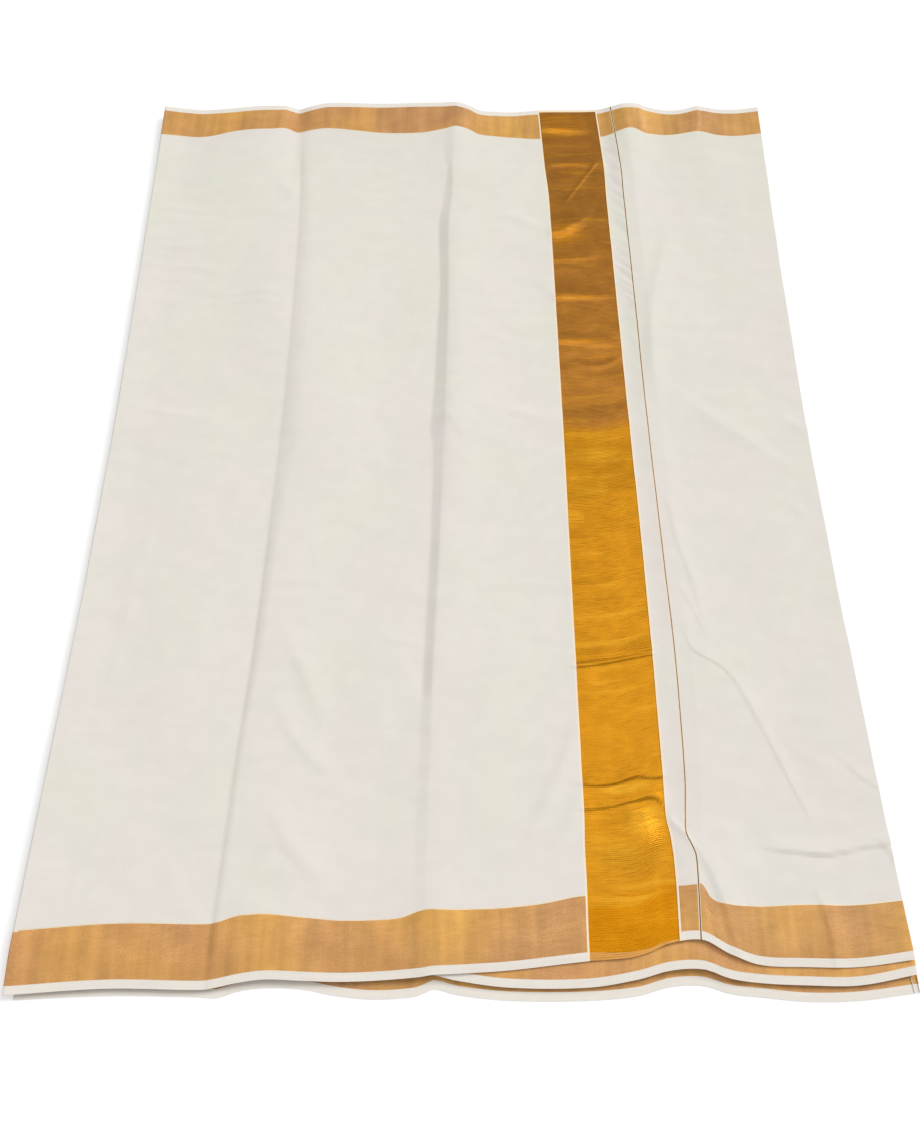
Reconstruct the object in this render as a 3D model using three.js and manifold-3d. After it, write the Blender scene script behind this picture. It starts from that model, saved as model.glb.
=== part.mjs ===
// A kasavu saree laid flat: one length of cream cotton with a woven gold border inside each selvedge,
// and a gold band and a thin line woven across its outer end. The length is folded to and fro into
// seven stretches of 0.87 m that lie on each other. The top one carries the outer end, the second and
// the bottom one show along the front, and the four between them share one solid, layered at its edges.
// Millimetres, +Z up, the front selvedge towards -Y, and the middle of the underside at the origin.
import * as THREE from "three";
import { mergeVertices } from "three/addons/utils/BufferGeometryUtils.js";
import Module from "manifold-3d";

// The stack of folded cloth.
const STRETCHES = 7;
const WALL = 1.2;
const GAP = 0.3;
const PITCH = WALL + GAP;
const STACK_DEPTH = 1208; // front to back, over all the stretches

// The weave, measured across the cloth from each selvedge.
const SELVEDGE = 8;
const BORDER = 49;
const LINE_WIDTH = 2.4; // the thin line beside the band

// How finely the solids follow the cloth.
const COLUMN_STEP = 46;
const FIELD_STEP = 52;
const TURN_STEPS = 5;
const STATION_ROOM = 8; // the least from the end of a level run to a station inside it
const CORE_INSET = 18; // how far the layers between stand free of each other at their edges

// Where each stretch's front selvedge lies, behind the front of the stack, and how far the top one
// stands off the cloth below it there.
const FRONT_EDGE = [
  { x: -438, top: 5, second: 5, hidden: 12, bottom: 1, lift: 0.5 },
  { x: -340, top: 11, second: 14, hidden: 19, bottom: 5, lift: 1 },
  { x: -250, top: 10, second: 15, hidden: 20, bottom: 4, lift: 0.5 },
  { x: -235, top: 12, second: 17, hidden: 22, bottom: 3, lift: 0 },
  { x: -215, top: 16, second: 20, hidden: 25, bottom: 9, lift: 2 },
  { x: -190, top: 19, second: 23, hidden: 27, bottom: 12, lift: 2.5 },
  { x: -155, top: 18, second: 23, hidden: 27, bottom: 11, lift: 2 },
  { x: -120, top: 17, second: 23, hidden: 27, bottom: 5, lift: 1 },
  { x: -84, top: 18, second: 24, hidden: 28, bottom: 2, lift: 1 },
  { x: -42, top: 21, second: 25, hidden: 30, bottom: 5, lift: 2.5 },
  { x: -28, top: 23, second: 23, hidden: 28, bottom: 11, lift: 3 },
  { x: -5, top: 24, second: 18, hidden: 26, bottom: 6, lift: 1.5 },
  { x: 45, top: 27, second: 12, hidden: 20, bottom: 1, lift: 0.5 },
  { x: 120, top: 35, second: 12, hidden: 20, bottom: 1, lift: 0.8 },
  { x: 168, top: 40, second: 19, hidden: 26, bottom: 5, lift: 1.4 },
  { x: 200, top: 51, second: 27, hidden: 33, bottom: 13, lift: 2.4 },
  { x: 232, top: 54, second: 28, hidden: 35, bottom: 14, lift: 3 },
  { x: 256, top: 42, second: 20, hidden: 28, bottom: 7, lift: 1.4 },
  { x: 285, top: 32, second: 16, hidden: 24, bottom: 4, lift: 0.5 },
  { x: 330, top: 30, second: 14, hidden: 21, bottom: 0, lift: 0.5 },
  { x: 380, top: 30, second: 14, hidden: 21, bottom: 1, lift: 0.5 },
  { x: 438, top: 37, second: 24, hidden: 30, bottom: 8, lift: 1.2 },
];
const FRONT_LIFT_REACH = 120;

// The same for the back selvedges, also measured from the front of the stack.
const BACK_EDGE = [
  { x: -438, top: 1206, second: 1206, hidden: 1197, bottom: 1199, lift: 3 },
  { x: -380, top: 1201, second: 1197, hidden: 1191, bottom: 1195, lift: 2 },
  { x: -280, top: 1204, second: 1197, hidden: 1191, bottom: 1194, lift: 7 },
  { x: -255, top: 1205, second: 1198, hidden: 1190, bottom: 1193, lift: 5 },
  { x: -239, top: 1203, second: 1199, hidden: 1190, bottom: 1193, lift: 2 },
  { x: -222, top: 1203, second: 1198, hidden: 1190, bottom: 1194, lift: 5 },
  { x: -195, top: 1208, second: 1198, hidden: 1191, bottom: 1195, lift: 7 },
  { x: -100, top: 1209, second: 1200, hidden: 1193, bottom: 1197, lift: 7 },
  { x: -12, top: 1208, second: 1201, hidden: 1194, bottom: 1198, lift: 9 },
  { x: 22, top: 1198, second: 1197, hidden: 1191, bottom: 1195, lift: 4 },
  { x: 75, top: 1198, second: 1194, hidden: 1188, bottom: 1192, lift: 1 },
  { x: 115, top: 1201, second: 1195, hidden: 1189, bottom: 1193, lift: 2 },
  { x: 200, top: 1202, second: 1194, hidden: 1188, bottom: 1192, lift: 2 },
  { x: 245, top: 1204, second: 1197, hidden: 1190, bottom: 1194, lift: 9 },
  { x: 300, top: 1200, second: 1195, hidden: 1189, bottom: 1193, lift: 3 },
  { x: 345, top: 1205, second: 1196, hidden: 1190, bottom: 1194, lift: 5 },
  { x: 380, top: 1202, second: 1195, hidden: 1189, bottom: 1193, lift: 2 },
  { x: 438, top: 1206, second: 1199, hidden: 1193, bottom: 1197, lift: 3 },
];
const BACK_LIFT_REACH = 190;

// The lines that run from front to back over the top: the old fold that lies as a valley, the one that
// stands as a ridge, the two edges of the gold band, and the thin line.
const LINES = [
  { y: 0, valley: -246, ridge: -36, bandLeft: 120.5, bandRight: 209, line: 228 },
  { y: 60, valley: -245, ridge: -36, bandLeft: 120.5, bandRight: 212, line: 230.5 },
  { y: 108, valley: -243, ridge: -36, bandLeft: 121.5, bandRight: 213.5, line: 233 },
  { y: 134, valley: -242, ridge: -36, bandLeft: 121.5, bandRight: 213.5, line: 233.5 },
  { y: 144, valley: -241.5, ridge: -36, bandLeft: 121.5, bandRight: 213, line: 230.5 },
  { y: 156, valley: -241, ridge: -36, bandLeft: 122, bandRight: 212, line: 226 },
  { y: 172, valley: -240, ridge: -36, bandLeft: 122.5, bandRight: 209.5, line: 227 },
  { y: 210, valley: -239, ridge: -35, bandLeft: 122.5, bandRight: 210, line: 230.5 },
  { y: 350, valley: -231, ridge: -31, bandLeft: 122.5, bandRight: 210.5, line: 233 },
  { y: 480, valley: -227, ridge: -26, bandLeft: 122.5, bandRight: 210, line: 231 },
  { y: 660, valley: -223, ridge: -21, bandLeft: 122.5, bandRight: 207.5, line: 228 },
  { y: 850, valley: -223, ridge: -17.5, bandLeft: 121.5, bandRight: 205.5, line: 227 },
  { y: 980, valley: -225, ridge: -18, bandLeft: 120.5, bandRight: 204, line: 226 },
  { y: 1036, valley: -227, ridge: -13, bandLeft: 119.5, bandRight: 203.5, line: 225.5 },
  { y: 1090, valley: -230, ridge: -13, bandLeft: 116, bandRight: 203.5, line: 225 },
  { y: 1208, valley: -239, ridge: -8, bandLeft: 111, bandRight: 197, line: 217 },
];

// The stack's two sides, drawn in a little half way back. They run straight from row to row, so every
// stretch has its rows there and the seams between stretches stay even.
const SIDES = [
  { y: 0, left: -438, right: 438 },
  { y: 210, left: -433.5, right: 432.5 },
  { y: 430, left: -429, right: 427.5 },
  { y: 660, left: -428.5, right: 426 },
  { y: 900, left: -432.5, right: 430 },
  { y: 1208, left: -438, right: 438 },
];
const SIDE_ROWS = SIDES.slice(1, -1).map((row) => row.y);

// The creases that run along those lines: where the crest lies from its line, how far the cloth runs
// down on each side of it, and how high the crest stands at the front, in the middle and at the back.
const CREASES = [
  { line: "left", crest: 0, leftRun: 1, rightRun: 46, front: 2, middle: 1.6, back: 2.4 },
  { line: "valley", crest: -80, leftRun: 110, rightRun: 80, front: 1, middle: 1.4, back: 1.6 },
  { line: "valley", crest: 20, leftRun: 20, rightRun: 110, front: 1.8, middle: 3.8, back: 2.4 },
  { line: "ridge", crest: 0, leftRun: 16, rightRun: 110, front: 1.4, middle: 6, back: 3.2 },
  { line: "line", crest: 17, leftRun: 34, rightRun: 58, front: 1.6, middle: 1.2, back: 3.2 },
  { line: "right", crest: 0, leftRun: 34, rightRun: 1, front: 0.8, middle: 0.5, back: 1 },
];

// The low ridges across the cloth where the packed saree was folded over.
const CROSS_RIDGES = [
  { y: 350, run: 40, height: 0.6 },
  { y: 655, run: 36, height: 1 },
  { y: 797, run: 32, height: 0.4 },
  { y: 950, run: 46, height: 0.7 },
];

// Humps in the top stretch: the pair where its front edge is drawn in beside the line, and the soft
// swells of the outer end.
const HUMPS = [
  { x: 226, y: 118, halfWidth: 34, halfDepth: 60, height: 2.2 },
  { x: 272, y: 116, halfWidth: 34, halfDepth: 64, height: 1.6 },
  { x: 276, y: 850, halfWidth: 64, halfDepth: 170, height: 2.4 },
  { x: 318, y: 640, halfWidth: 80, halfDepth: 90, height: 1.8 },
  { x: 290, y: 330, halfWidth: 55, halfDepth: 120, height: 1.5 },
];

// Each turn at a side of the stack, and how far it stops short of the stack's side.
const TURNS = [
  { upper: 1, side: "left", inset: 0 },
  { upper: 2, side: "right", inset: 2 },
  { upper: 3, side: "left", inset: 5 },
  { upper: 4, side: "right", inset: 6 },
  { upper: 5, side: "left", inset: 3 },
  { upper: 6, side: "right", inset: 0 },
];
const TURN_SEAM = 6; // from the stack's side to where a stretch meets its turn
const OUTER_END_INSET = 3; // the outer end, at the right of the top stretch
const INNER_END_INSET = 9; // the inner end, at the left of the bottom stretch

// How far the edges of each hidden stretch lie behind the ones tabled above, at the left and at the
// right. Two stretches that share a turn have the same edge there, so the third one comes to meet the
// second over MEETING_RUN at the right, and the sixth one the bottom.
const HIDDEN_STEPS = {
  3: { left: 0, right: 0, meets: "second" },
  4: { left: 0, right: 4 },
  5: { left: -2, right: 4 },
  6: { left: -2, right: -2, meets: "bottom" },
};
const MEETING_RUN = 150;

const cotton = new THREE.MeshStandardMaterial({ color: 0xe6e2d8, roughness: 0.9, metalness: 0 });
const selvedge = new THREE.MeshStandardMaterial({ color: 0xefece6, roughness: 0.85, metalness: 0 });
const borderGold = new THREE.MeshStandardMaterial({ color: 0xcb9c5c, roughness: 0.5, metalness: 0.35 });
const bandGold = new THREE.MeshStandardMaterial({ color: 0xcf8c1e, roughness: 0.4, metalness: 0.5 });
const lineGold = new THREE.MeshStandardMaterial({ color: 0x7a5524, roughness: 0.6, metalness: 0.2 });

// Reads one column of a table at a place between its rows, along a smooth curve through them.
function read(table, key, column, at) {
  const last = table.length - 1;
  const held = THREE.MathUtils.clamp(at, table[0][key], table[last][key]);
  let i = 0;
  while (i < last - 1 && held > table[i + 1][key]) i += 1;
  const slope = (k) => {
    const before = table[Math.max(k - 1, 0)];
    const after = table[Math.min(k + 1, last)];
    return (after[column] - before[column]) / (after[key] - before[key]);
  };
  const span = table[i + 1][key] - table[i][key];
  const t = (held - table[i][key]) / span;
  const ease = t * t * (3 - 2 * t);
  const rise = table[i + 1][column] - table[i][column];
  const lean = t * (1 - t) * ((1 - t) * slope(i) - t * slope(i + 1)) * span;
  return table[i][column] + rise * ease + lean;
}

// Where a side of the stack lies.
function sideAt(side, y) {
  const held = THREE.MathUtils.clamp(y, 0, STACK_DEPTH);
  const i = Math.max(SIDES.findIndex((row) => row.y >= held), 1);
  const share = (held - SIDES[i - 1].y) / (SIDES[i].y - SIDES[i - 1].y);
  return THREE.MathUtils.lerp(SIDES[i - 1][side], SIDES[i][side], share);
}

const lineAt = (name, y) => (name in SIDES[0] ? sideAt(name, y) : read(LINES, "y", name, y));

// One edge of a hidden stretch.
function hiddenEdge(table, n, x) {
  const { left, right, meets } = HIDDEN_STEPS[n];
  const behind = THREE.MathUtils.lerp(left, right, (x - SIDES[0].left) / (SIDES[0].right - SIDES[0].left));
  const own = read(table, "x", "hidden", x) + (table === FRONT_EDGE ? behind : -behind);
  if (!meets) return own;
  const met = THREE.MathUtils.smoothstep(x, SIDES[0].right - MEETING_RUN, SIDES[0].right - TURN_SEAM);
  return THREE.MathUtils.lerp(own, read(table, "x", meets, x), met);
}

// One edge of any stretch, counted from 1 at the top, and of the turn between two of them.
function edgeAt(table, level, x) {
  const upper = Math.floor(level);
  const share = level - upper;
  const edge = (n) => {
    if (n in HIDDEN_STEPS) return hiddenEdge(table, n, x);
    return read(table, "x", { 1: "top", 2: "second", [STRETCHES]: "bottom" }[n], x);
  };
  return share === 0 ? edge(upper) : THREE.MathUtils.lerp(edge(upper), edge(upper + 1), share);
}

// Where a place across the weave lies on a stretch. The selvedges and borders keep their widths, and
// the field between them takes up what the wavy edges leave.
function acrossToY(level, x, across) {
  const front = edgeAt(FRONT_EDGE, level, x);
  const back = edgeAt(BACK_EDGE, level, x);
  const fixed = SELVEDGE + BORDER;
  if (across <= fixed) return front + across;
  if (across >= STACK_DEPTH - fixed) return back - (STACK_DEPTH - across);
  const share = (across - fixed) / (STACK_DEPTH - 2 * fixed);
  return THREE.MathUtils.lerp(front + fixed, back - fixed, share);
}

// How far the cloth has run down, from 1 at a crest to 0 at the end of its run.
function runDown(distance, run) {
  const t = Math.min(Math.abs(distance) / run, 1);
  return (1 - t) * (1 - t) * (1 + t);
}

// How far the top stretch stands off the cloth below it.
function relief(x, y) {
  let height = 0;
  for (const crease of CREASES) {
    const off = x - lineAt(crease.line, y) - crease.crest;
    const depth = y / STACK_DEPTH;
    const half = depth < 0.5 ? crease.front : crease.back;
    const crest = THREE.MathUtils.lerp(crease.middle, half, Math.abs(2 * depth - 1));
    height += crest * runDown(off, off < 0 ? crease.leftRun : crease.rightRun);
  }
  for (const ridge of CROSS_RIDGES) height += ridge.height * runDown(y - ridge.y, ridge.run);
  for (const hump of HUMPS) {
    const off = Math.hypot((x - hump.x) / hump.halfWidth, (y - hump.y) / hump.halfDepth);
    height += hump.height * runDown(off, 1);
  }
  const front = y - edgeAt(FRONT_EDGE, 1, x);
  const back = edgeAt(BACK_EDGE, 1, x) - y;
  height += Math.max(read(FRONT_EDGE, "x", "lift", x), 0) * runDown(Math.max(front, 0), FRONT_LIFT_REACH);
  height += Math.max(read(BACK_EDGE, "x", "lift", x), 0) * runDown(Math.max(back, 0), BACK_LIFT_REACH);
  return height;
}

const middleOf = (level) => (STRETCHES - level) * PITCH + WALL / 2;

// The weave's zones across the cloth, from the front selvedge to the back one, GAP apart.
const BACK_BORDER = STACK_DEPTH - SELVEDGE - BORDER;
const BACK_SELVEDGE = STACK_DEPTH - SELVEDGE;
const ZONES = [
  { name: "front_selvedge", from: 0, to: SELVEDGE, material: selvedge },
  { name: "front_border", from: SELVEDGE, to: SELVEDGE + BORDER, material: borderGold },
  { name: "field", from: SELVEDGE + BORDER, to: BACK_BORDER, material: cotton },
  { name: "back_border", from: BACK_BORDER, to: BACK_SELVEDGE, material: borderGold },
  { name: "back_selvedge", from: BACK_SELVEDGE, to: STACK_DEPTH, material: selvedge },
];
const WHOLE_WIDTH = { from: 0, to: STACK_DEPTH };

// Places along a span: its two ends, evenly spaced ones between, and any listed ones that fall inside.
function placesAlong(from, to, step, listed = []) {
  const count = Math.max(Math.round((to - from) / step), 1);
  const even = Array.from({ length: count + 1 }, (_, i) => from + ((to - from) * i) / count);
  const inside = listed.filter((place) => place > from + GAP && place < to - GAP);
  const clear = even.filter(
    (place, i) => i === 0 || i === count || !inside.some((other) => Math.abs(other - place) < step / 3),
  );
  return [...clear, ...inside].sort((a, b) => a - b);
}

// The rows of a zone, a seam's half gap inside each edge that meets another zone.
function rowsOf(zone, listed = SIDE_ROWS) {
  const from = zone.from + (zone.from > 0 ? GAP / 2 : 0);
  const to = zone.to - (zone.to < STACK_DEPTH ? GAP / 2 : 0);
  return placesAlong(from, to, STACK_DEPTH, listed);
}

// A closed wall of cloth through rows of places. Each place has its middle and the way its wall points.
function clothWall(rows, thickness = WALL) {
  const length = rows[0].length;
  const positions = [];
  for (const side of [0.5, -0.5])
    for (const row of rows)
      for (const { middle, normal } of row)
        positions.push(...middle.clone().addScaledVector(normal, side * thickness).toArray());
  const at = (side, j, i) => (side * rows.length + j) * length + i;
  const index = [];
  const quad = (a, b, c, d) => index.push(a, b, c, a, c, d);
  for (let j = 0; j < rows.length - 1; j += 1)
    for (let i = 0; i < length - 1; i += 1) {
      quad(at(0, j, i), at(0, j, i + 1), at(0, j + 1, i + 1), at(0, j + 1, i));
      quad(at(1, j, i), at(1, j + 1, i), at(1, j + 1, i + 1), at(1, j, i + 1));
    }
  const lastRow = rows.length - 1;
  const lastColumn = length - 1;
  for (let i = 0; i < lastColumn; i += 1) {
    quad(at(1, 0, i), at(1, 0, i + 1), at(0, 0, i + 1), at(0, 0, i));
    quad(at(1, lastRow, i), at(0, lastRow, i), at(0, lastRow, i + 1), at(1, lastRow, i + 1));
  }
  for (let j = 0; j < lastRow; j += 1) {
    quad(at(0, j, 0), at(0, j + 1, 0), at(1, j + 1, 0), at(1, j, 0));
    quad(at(1, j, lastColumn), at(1, j + 1, lastColumn), at(0, j + 1, lastColumn), at(0, j, lastColumn));
  }
  const geometry = new THREE.BufferGeometry();
  geometry.setAttribute("position", new THREE.Float32BufferAttribute(positions, 3));
  geometry.setIndex(index);
  return geometry;
}

const saree = new THREE.Group();

function addPiece(name, geometry, material) {
  const mesh = new THREE.Mesh(geometry, material);
  mesh.name = name;
  saree.add(mesh);
}

// The top stretch. Its columns follow the lines of the cloth, so each crease has a crest of its own.
const UP = new THREE.Vector3(0, 0, 1);
const TOP_SPANS = {
  body: [
    { line: "left", off: TURN_SEAM },
    { line: "left", off: 46 },
    { line: "valley", off: -80 },
    { line: "valley", off: -36 },
    { line: "valley", off: 0 },
    { line: "valley", off: 20 },
    { line: "valley", off: 52 },
    { line: "valley", off: 92 },
    { line: "ridge", off: -16 },
    { line: "ridge", off: 0 },
    { line: "ridge", off: 24 },
    { line: "ridge", off: 54 },
    { line: "ridge", off: 90 },
    { line: "bandLeft", off: -GAP / 2 },
  ],
  band: [
    { line: "bandLeft", off: GAP / 2 },
    { line: "bandRight", off: -GAP / 2 },
  ],
  strip: [
    { line: "bandRight", off: GAP / 2 },
    { line: "line", off: -LINE_WIDTH / 2 - GAP / 2 },
  ],
  line: [
    { line: "line", off: -LINE_WIDTH / 2 + GAP / 2 },
    { line: "line", off: LINE_WIDTH / 2 - GAP / 2 },
  ],
  end: [
    { line: "line", off: LINE_WIDTH / 2 + GAP / 2 },
    { line: "line", off: 17 },
    { line: "line", off: 45 },
    { line: "line", off: 75 },
    { line: "right", off: -34 },
    { line: "right", off: -OUTER_END_INSET },
  ],
};

// Its rows, the same in every span. They lie closer at the front, where the thin line is pulled askew.
const PULL_ROWS = [84, 96, 108, 124, 165];
const CREASE_ROWS = [...PULL_ROWS, ...CROSS_RIDGES.map((ridge) => ridge.y), ...SIDE_ROWS];
const FIELD_ROWS = placesAlong(SELVEDGE + BORDER, BACK_BORDER, FIELD_STEP, CREASE_ROWS);
const TOP_ROWS = [SELVEDGE, ...FIELD_ROWS, BACK_SELVEDGE];

// Where a column of the top stretch lies. Its lines are tabled by where they cross the finished stack.
function columnAt({ line, off }, across) {
  const x = lineAt(line, across) + off;
  return line in SIDES[0] ? x : lineAt(line, acrossToY(1, x, across)) + off;
}

function topWall(span, zone) {
  const stations = TOP_SPANS[span];
  const rows = rowsOf(zone, TOP_ROWS).map((across) => {
    const xs = [];
    stations.slice(1).forEach((station, i) => {
      const from = columnAt(stations[i], across);
      const to = columnAt(station, across);
      const nominal = lineAt(station.line, 0) + station.off - lineAt(stations[i].line, 0) - stations[i].off;
      const count = Math.max(Math.round(nominal / COLUMN_STEP), 1);
      for (let k = i === 0 ? 0 : 1; k <= count; k += 1) xs.push(from + ((to - from) * k) / count);
    });
    return xs.map((x) => {
      const y = acrossToY(1, x, across);
      return { middle: new THREE.Vector3(x, y, middleOf(1) + relief(x, y)), normal: UP };
    });
  });
  return clothWall(rows);
}

for (const span of ["body", "strip", "end"])
  for (const zone of ZONES) addPiece(span + "_" + zone.name, topWall(span, zone), zone.material);
addPiece("pallu_band", topWall("band", WHOLE_WIDTH), bandGold);
addPiece("pallu_line", topWall("line", WHOLE_WIDTH), lineGold);

// The stretches below are followed as one path seen from the front: level runs joined by half-round
// turns. A place on it is where the cloth's middle lies, which stretch it is on, and which way it runs.
function turnPath(turn, y) {
  const outwards = turn.side === "left" ? -1 : 1;
  const side = lineAt(turn.side, y) - outwards * turn.inset;
  const rise = turn.upper === 1 ? relief(side, acrossToY(1, side, y)) : 0;
  const top = middleOf(turn.upper) + rise;
  const radius = (top - middleOf(turn.upper + 1)) / 2;
  const centre = side - outwards * (radius + WALL / 2);
  const path = [];
  for (let k = 0; k <= TURN_STEPS; k += 1) {
    const angle = (Math.PI * k) / TURN_STEPS;
    path.push({
      x: centre + outwards * radius * Math.sin(angle),
      z: top - radius + radius * Math.cos(angle),
      level: turn.upper + k / TURN_STEPS,
      run: [outwards * Math.cos(angle), -Math.sin(angle)],
    });
  }
  return path;
}

// A short level end of the path, where it meets the next piece at a seam.
function seamEnd(level, x, z, direction) {
  return { x, z, level, run: [direction, 0] };
}

function levelRun(level, from, to, stations) {
  const direction = Math.sign(to - from);
  const low = Math.min(from, to);
  const high = Math.max(from, to);
  const inner = stations.filter((x) => x > low + STATION_ROOM && x < high - STATION_ROOM);
  const xs = [low, ...inner, high];
  if (direction < 0) xs.reverse();
  return xs.map((x) => ({ x, z: middleOf(level), level, run: [direction, 0] }));
}

// The rows of a wall along such a path. Its wall points to the left of the way the path runs.
function pathRows(pathAt, zone) {
  return rowsOf(zone).map((across) =>
    pathAt(across).map(({ x, z, level, run }) => ({
      middle: new THREE.Vector3(x, acrossToY(level, x, across), z),
      normal: new THREE.Vector3(-run[1], 0, run[0]),
    })),
  );
}

const WAVE_STATIONS = FRONT_EDGE.slice(1, -1).map((row) => row.x);
const PLAIN_STATIONS = [-330, -220, -110, 0, 110, 220, 330];

// The second stretch, with the turn at the left that brings it down from the top one and the turn at
// the right that takes it on to the layers below.
function secondPath(y) {
  const left = turnPath(TURNS[0], y);
  const right = turnPath(TURNS[1], y);
  const seam = lineAt("left", y) + TURN_SEAM - GAP;
  return [
    seamEnd(1, seam, left[0].z, -1),
    ...left,
    ...levelRun(2, seam, lineAt("right", y) - TURN_SEAM, WAVE_STATIONS),
    ...right,
  ];
}

// The bottom stretch comes round the lowest turn at the right and ends free at the left. The whole of
// its level run is flat underneath, and the stack rests on it.
function bottomPath(y) {
  const innerEnd = lineAt("left", y) + INNER_END_INSET;
  const fromRight = levelRun(STRETCHES, lineAt("right", y) - TURN_SEAM, innerEnd, WAVE_STATIONS);
  return [...turnPath(TURNS[5], y), ...fromRight];
}

for (const zone of ZONES) {
  addPiece("second_" + zone.name, clothWall(pathRows(secondPath, zone)), zone.material);
  addPiece("bottom_" + zone.name, clothWall(pathRows(bottomPath, zone)), zone.material);
}

// The four hidden stretches, as one folded wall with its turns, joined inside to a level core that
// leaves only their edges free.
function hiddenPath(y) {
  const left = lineAt("left", y) + CORE_INSET;
  const right = lineAt("right", y) - CORE_INSET;
  const seamAt = (turn) => lineAt("right", y) - turn.inset - PITCH - GAP;
  return [
    seamEnd(3, seamAt(TURNS[1]), middleOf(3), -1),
    ...levelRun(3, right, left, PLAIN_STATIONS),
    ...turnPath(TURNS[2], y),
    ...levelRun(4, left, right, PLAIN_STATIONS),
    ...turnPath(TURNS[3], y),
    ...levelRun(5, right, left, PLAIN_STATIONS),
    ...turnPath(TURNS[4], y),
    ...levelRun(6, left, right, PLAIN_STATIONS),
    seamEnd(6, seamAt(TURNS[5]), middleOf(6), 1),
  ];
}

function coreRows() {
  const middle = (middleOf(3) + middleOf(6)) / 2;
  return [CORE_INSET, ...SIDE_ROWS, STACK_DEPTH - CORE_INSET].map((across) => {
    const left = lineAt("left", across) + CORE_INSET;
    const right = lineAt("right", across) - CORE_INSET;
    return [left, ...PLAIN_STATIONS, right].map((x) => {
      const y = acrossToY(4, x, across);
      return { middle: new THREE.Vector3(x, y, middle), normal: UP };
    });
  });
}

const wasm = await Module();
wasm.setup();

function toSolid(geometry) {
  const merged = mergeVertices(geometry, 1e-4);
  return new wasm.Manifold(
    new wasm.Mesh({
      numProp: 3,
      vertProperties: merged.attributes.position.array,
      triVerts: new Uint32Array(merged.index.array),
    }),
  );
}

function toGeometry(solid) {
  const mesh = solid.getMesh();
  const geometry = new THREE.BufferGeometry();
  geometry.setAttribute("position", new THREE.BufferAttribute(mesh.vertProperties, 3));
  geometry.setIndex(new THREE.BufferAttribute(mesh.triVerts, 1));
  return geometry;
}

const coreThickness = middleOf(3) - middleOf(6) + WALL / 2;
const layers = toSolid(clothWall(pathRows(hiddenPath, WHOLE_WIDTH)));
const core = toSolid(clothWall(coreRows(), coreThickness));
addPiece("hidden_layers", toGeometry(layers.add(core)), cotton);

// The middle of the underside goes to the origin.
const box = new THREE.Box3().setFromObject(saree);
const middle = box.getCenter(new THREE.Vector3());
for (const mesh of saree.children) {
  mesh.geometry.translate(-middle.x, -middle.y, -box.min.z);
  mesh.geometry.computeVertexNormals();
}

export default saree;
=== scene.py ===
import math

import bpy
import numpy as np
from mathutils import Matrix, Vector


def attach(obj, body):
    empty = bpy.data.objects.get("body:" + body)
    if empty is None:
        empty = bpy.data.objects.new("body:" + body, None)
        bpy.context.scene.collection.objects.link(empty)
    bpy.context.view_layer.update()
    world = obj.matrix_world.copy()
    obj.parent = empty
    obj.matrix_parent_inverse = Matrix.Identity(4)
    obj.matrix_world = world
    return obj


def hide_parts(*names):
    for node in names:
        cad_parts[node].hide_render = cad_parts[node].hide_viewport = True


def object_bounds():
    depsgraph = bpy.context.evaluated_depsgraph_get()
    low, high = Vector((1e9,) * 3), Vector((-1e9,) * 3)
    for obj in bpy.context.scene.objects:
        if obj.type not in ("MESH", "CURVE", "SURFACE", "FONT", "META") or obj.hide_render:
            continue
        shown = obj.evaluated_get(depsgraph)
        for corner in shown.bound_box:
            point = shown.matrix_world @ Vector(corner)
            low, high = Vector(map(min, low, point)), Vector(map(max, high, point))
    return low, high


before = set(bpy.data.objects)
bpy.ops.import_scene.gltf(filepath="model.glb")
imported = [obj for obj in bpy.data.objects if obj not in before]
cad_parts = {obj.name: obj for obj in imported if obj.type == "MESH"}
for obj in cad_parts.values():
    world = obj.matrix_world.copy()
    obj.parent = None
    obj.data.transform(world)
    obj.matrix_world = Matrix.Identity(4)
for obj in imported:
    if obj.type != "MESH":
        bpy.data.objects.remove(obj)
cad_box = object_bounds()


# ------------------------------------------------------------
# The bottom stretch. It is the saree's inner end: dense white selvedges, borders of gold thread woven
# in beside them, and the plain field between. It lies on the table, flat underneath, and comes round
# a soft turn at its right side from the stretch above.
MM = 0.001
STRETCHES = 7
STACK_DEPTH = 1208
SELVEDGE = 8
BORDER = 49
FIELD_EDGE = SELVEDGE + BORDER
FIELD_WIDTH = STACK_DEPTH - 2 * FIELD_EDGE
CLOTH = 0.6  # one layer of the cloth, with its nap
LAYER_RISE = 1.6  # from one layer to the next
TURN_SEAM = 6  # from the side of the stack to where a stretch meets its turn
TURN_STEPS = 12
BOTTOM_END = 9  # from the left side to the saree's inner end
SETTLED = 0.5  # how much of its height the stack keeps at its very front, where its layers lie down
SETTLING_RUN = 50
SAME = 0.01  # within which two rows or heights are the same

# Where the sides of the stack lie: it is drawn in a little half way back.
SIDE_ROWS = np.array([0, 210, 430, 660, 900, 1208])
SIDES = {
    "left": np.array([-438, -433.5, -429, -428.5, -432.5, -438]),
    "right": np.array([438, 432.5, 427.5, 426, 430, 438]),
}

# Shallow creases in the bottom stretch, seen from below: x and y of both ends, half width, height.
UNDERSIDE_CREASES = [
    (-225, 60, -219, 1140, 9, 0.8), (-18, 90, -26, 1150, 11, 0.9), (206, 40, 196, 1010, 8, 0.6),
    (-430, 352, 395, 356, 12, 0.7), (-400, 655, 420, 650, 10, 0.8), (-380, 950, 300, 961, 13, 0.6),
    (260, 480, 352, 210, 7, 0.5), (-160, 250, -88, 120, 12, 0.5), (60, 790, 118, 700, 14, 0.5),
]
CREASE_ENDS = 40  # over which they run out


def eased(t):
    t = np.clip(t, 0, 1)
    return t * t * (3 - 2 * t)


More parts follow.
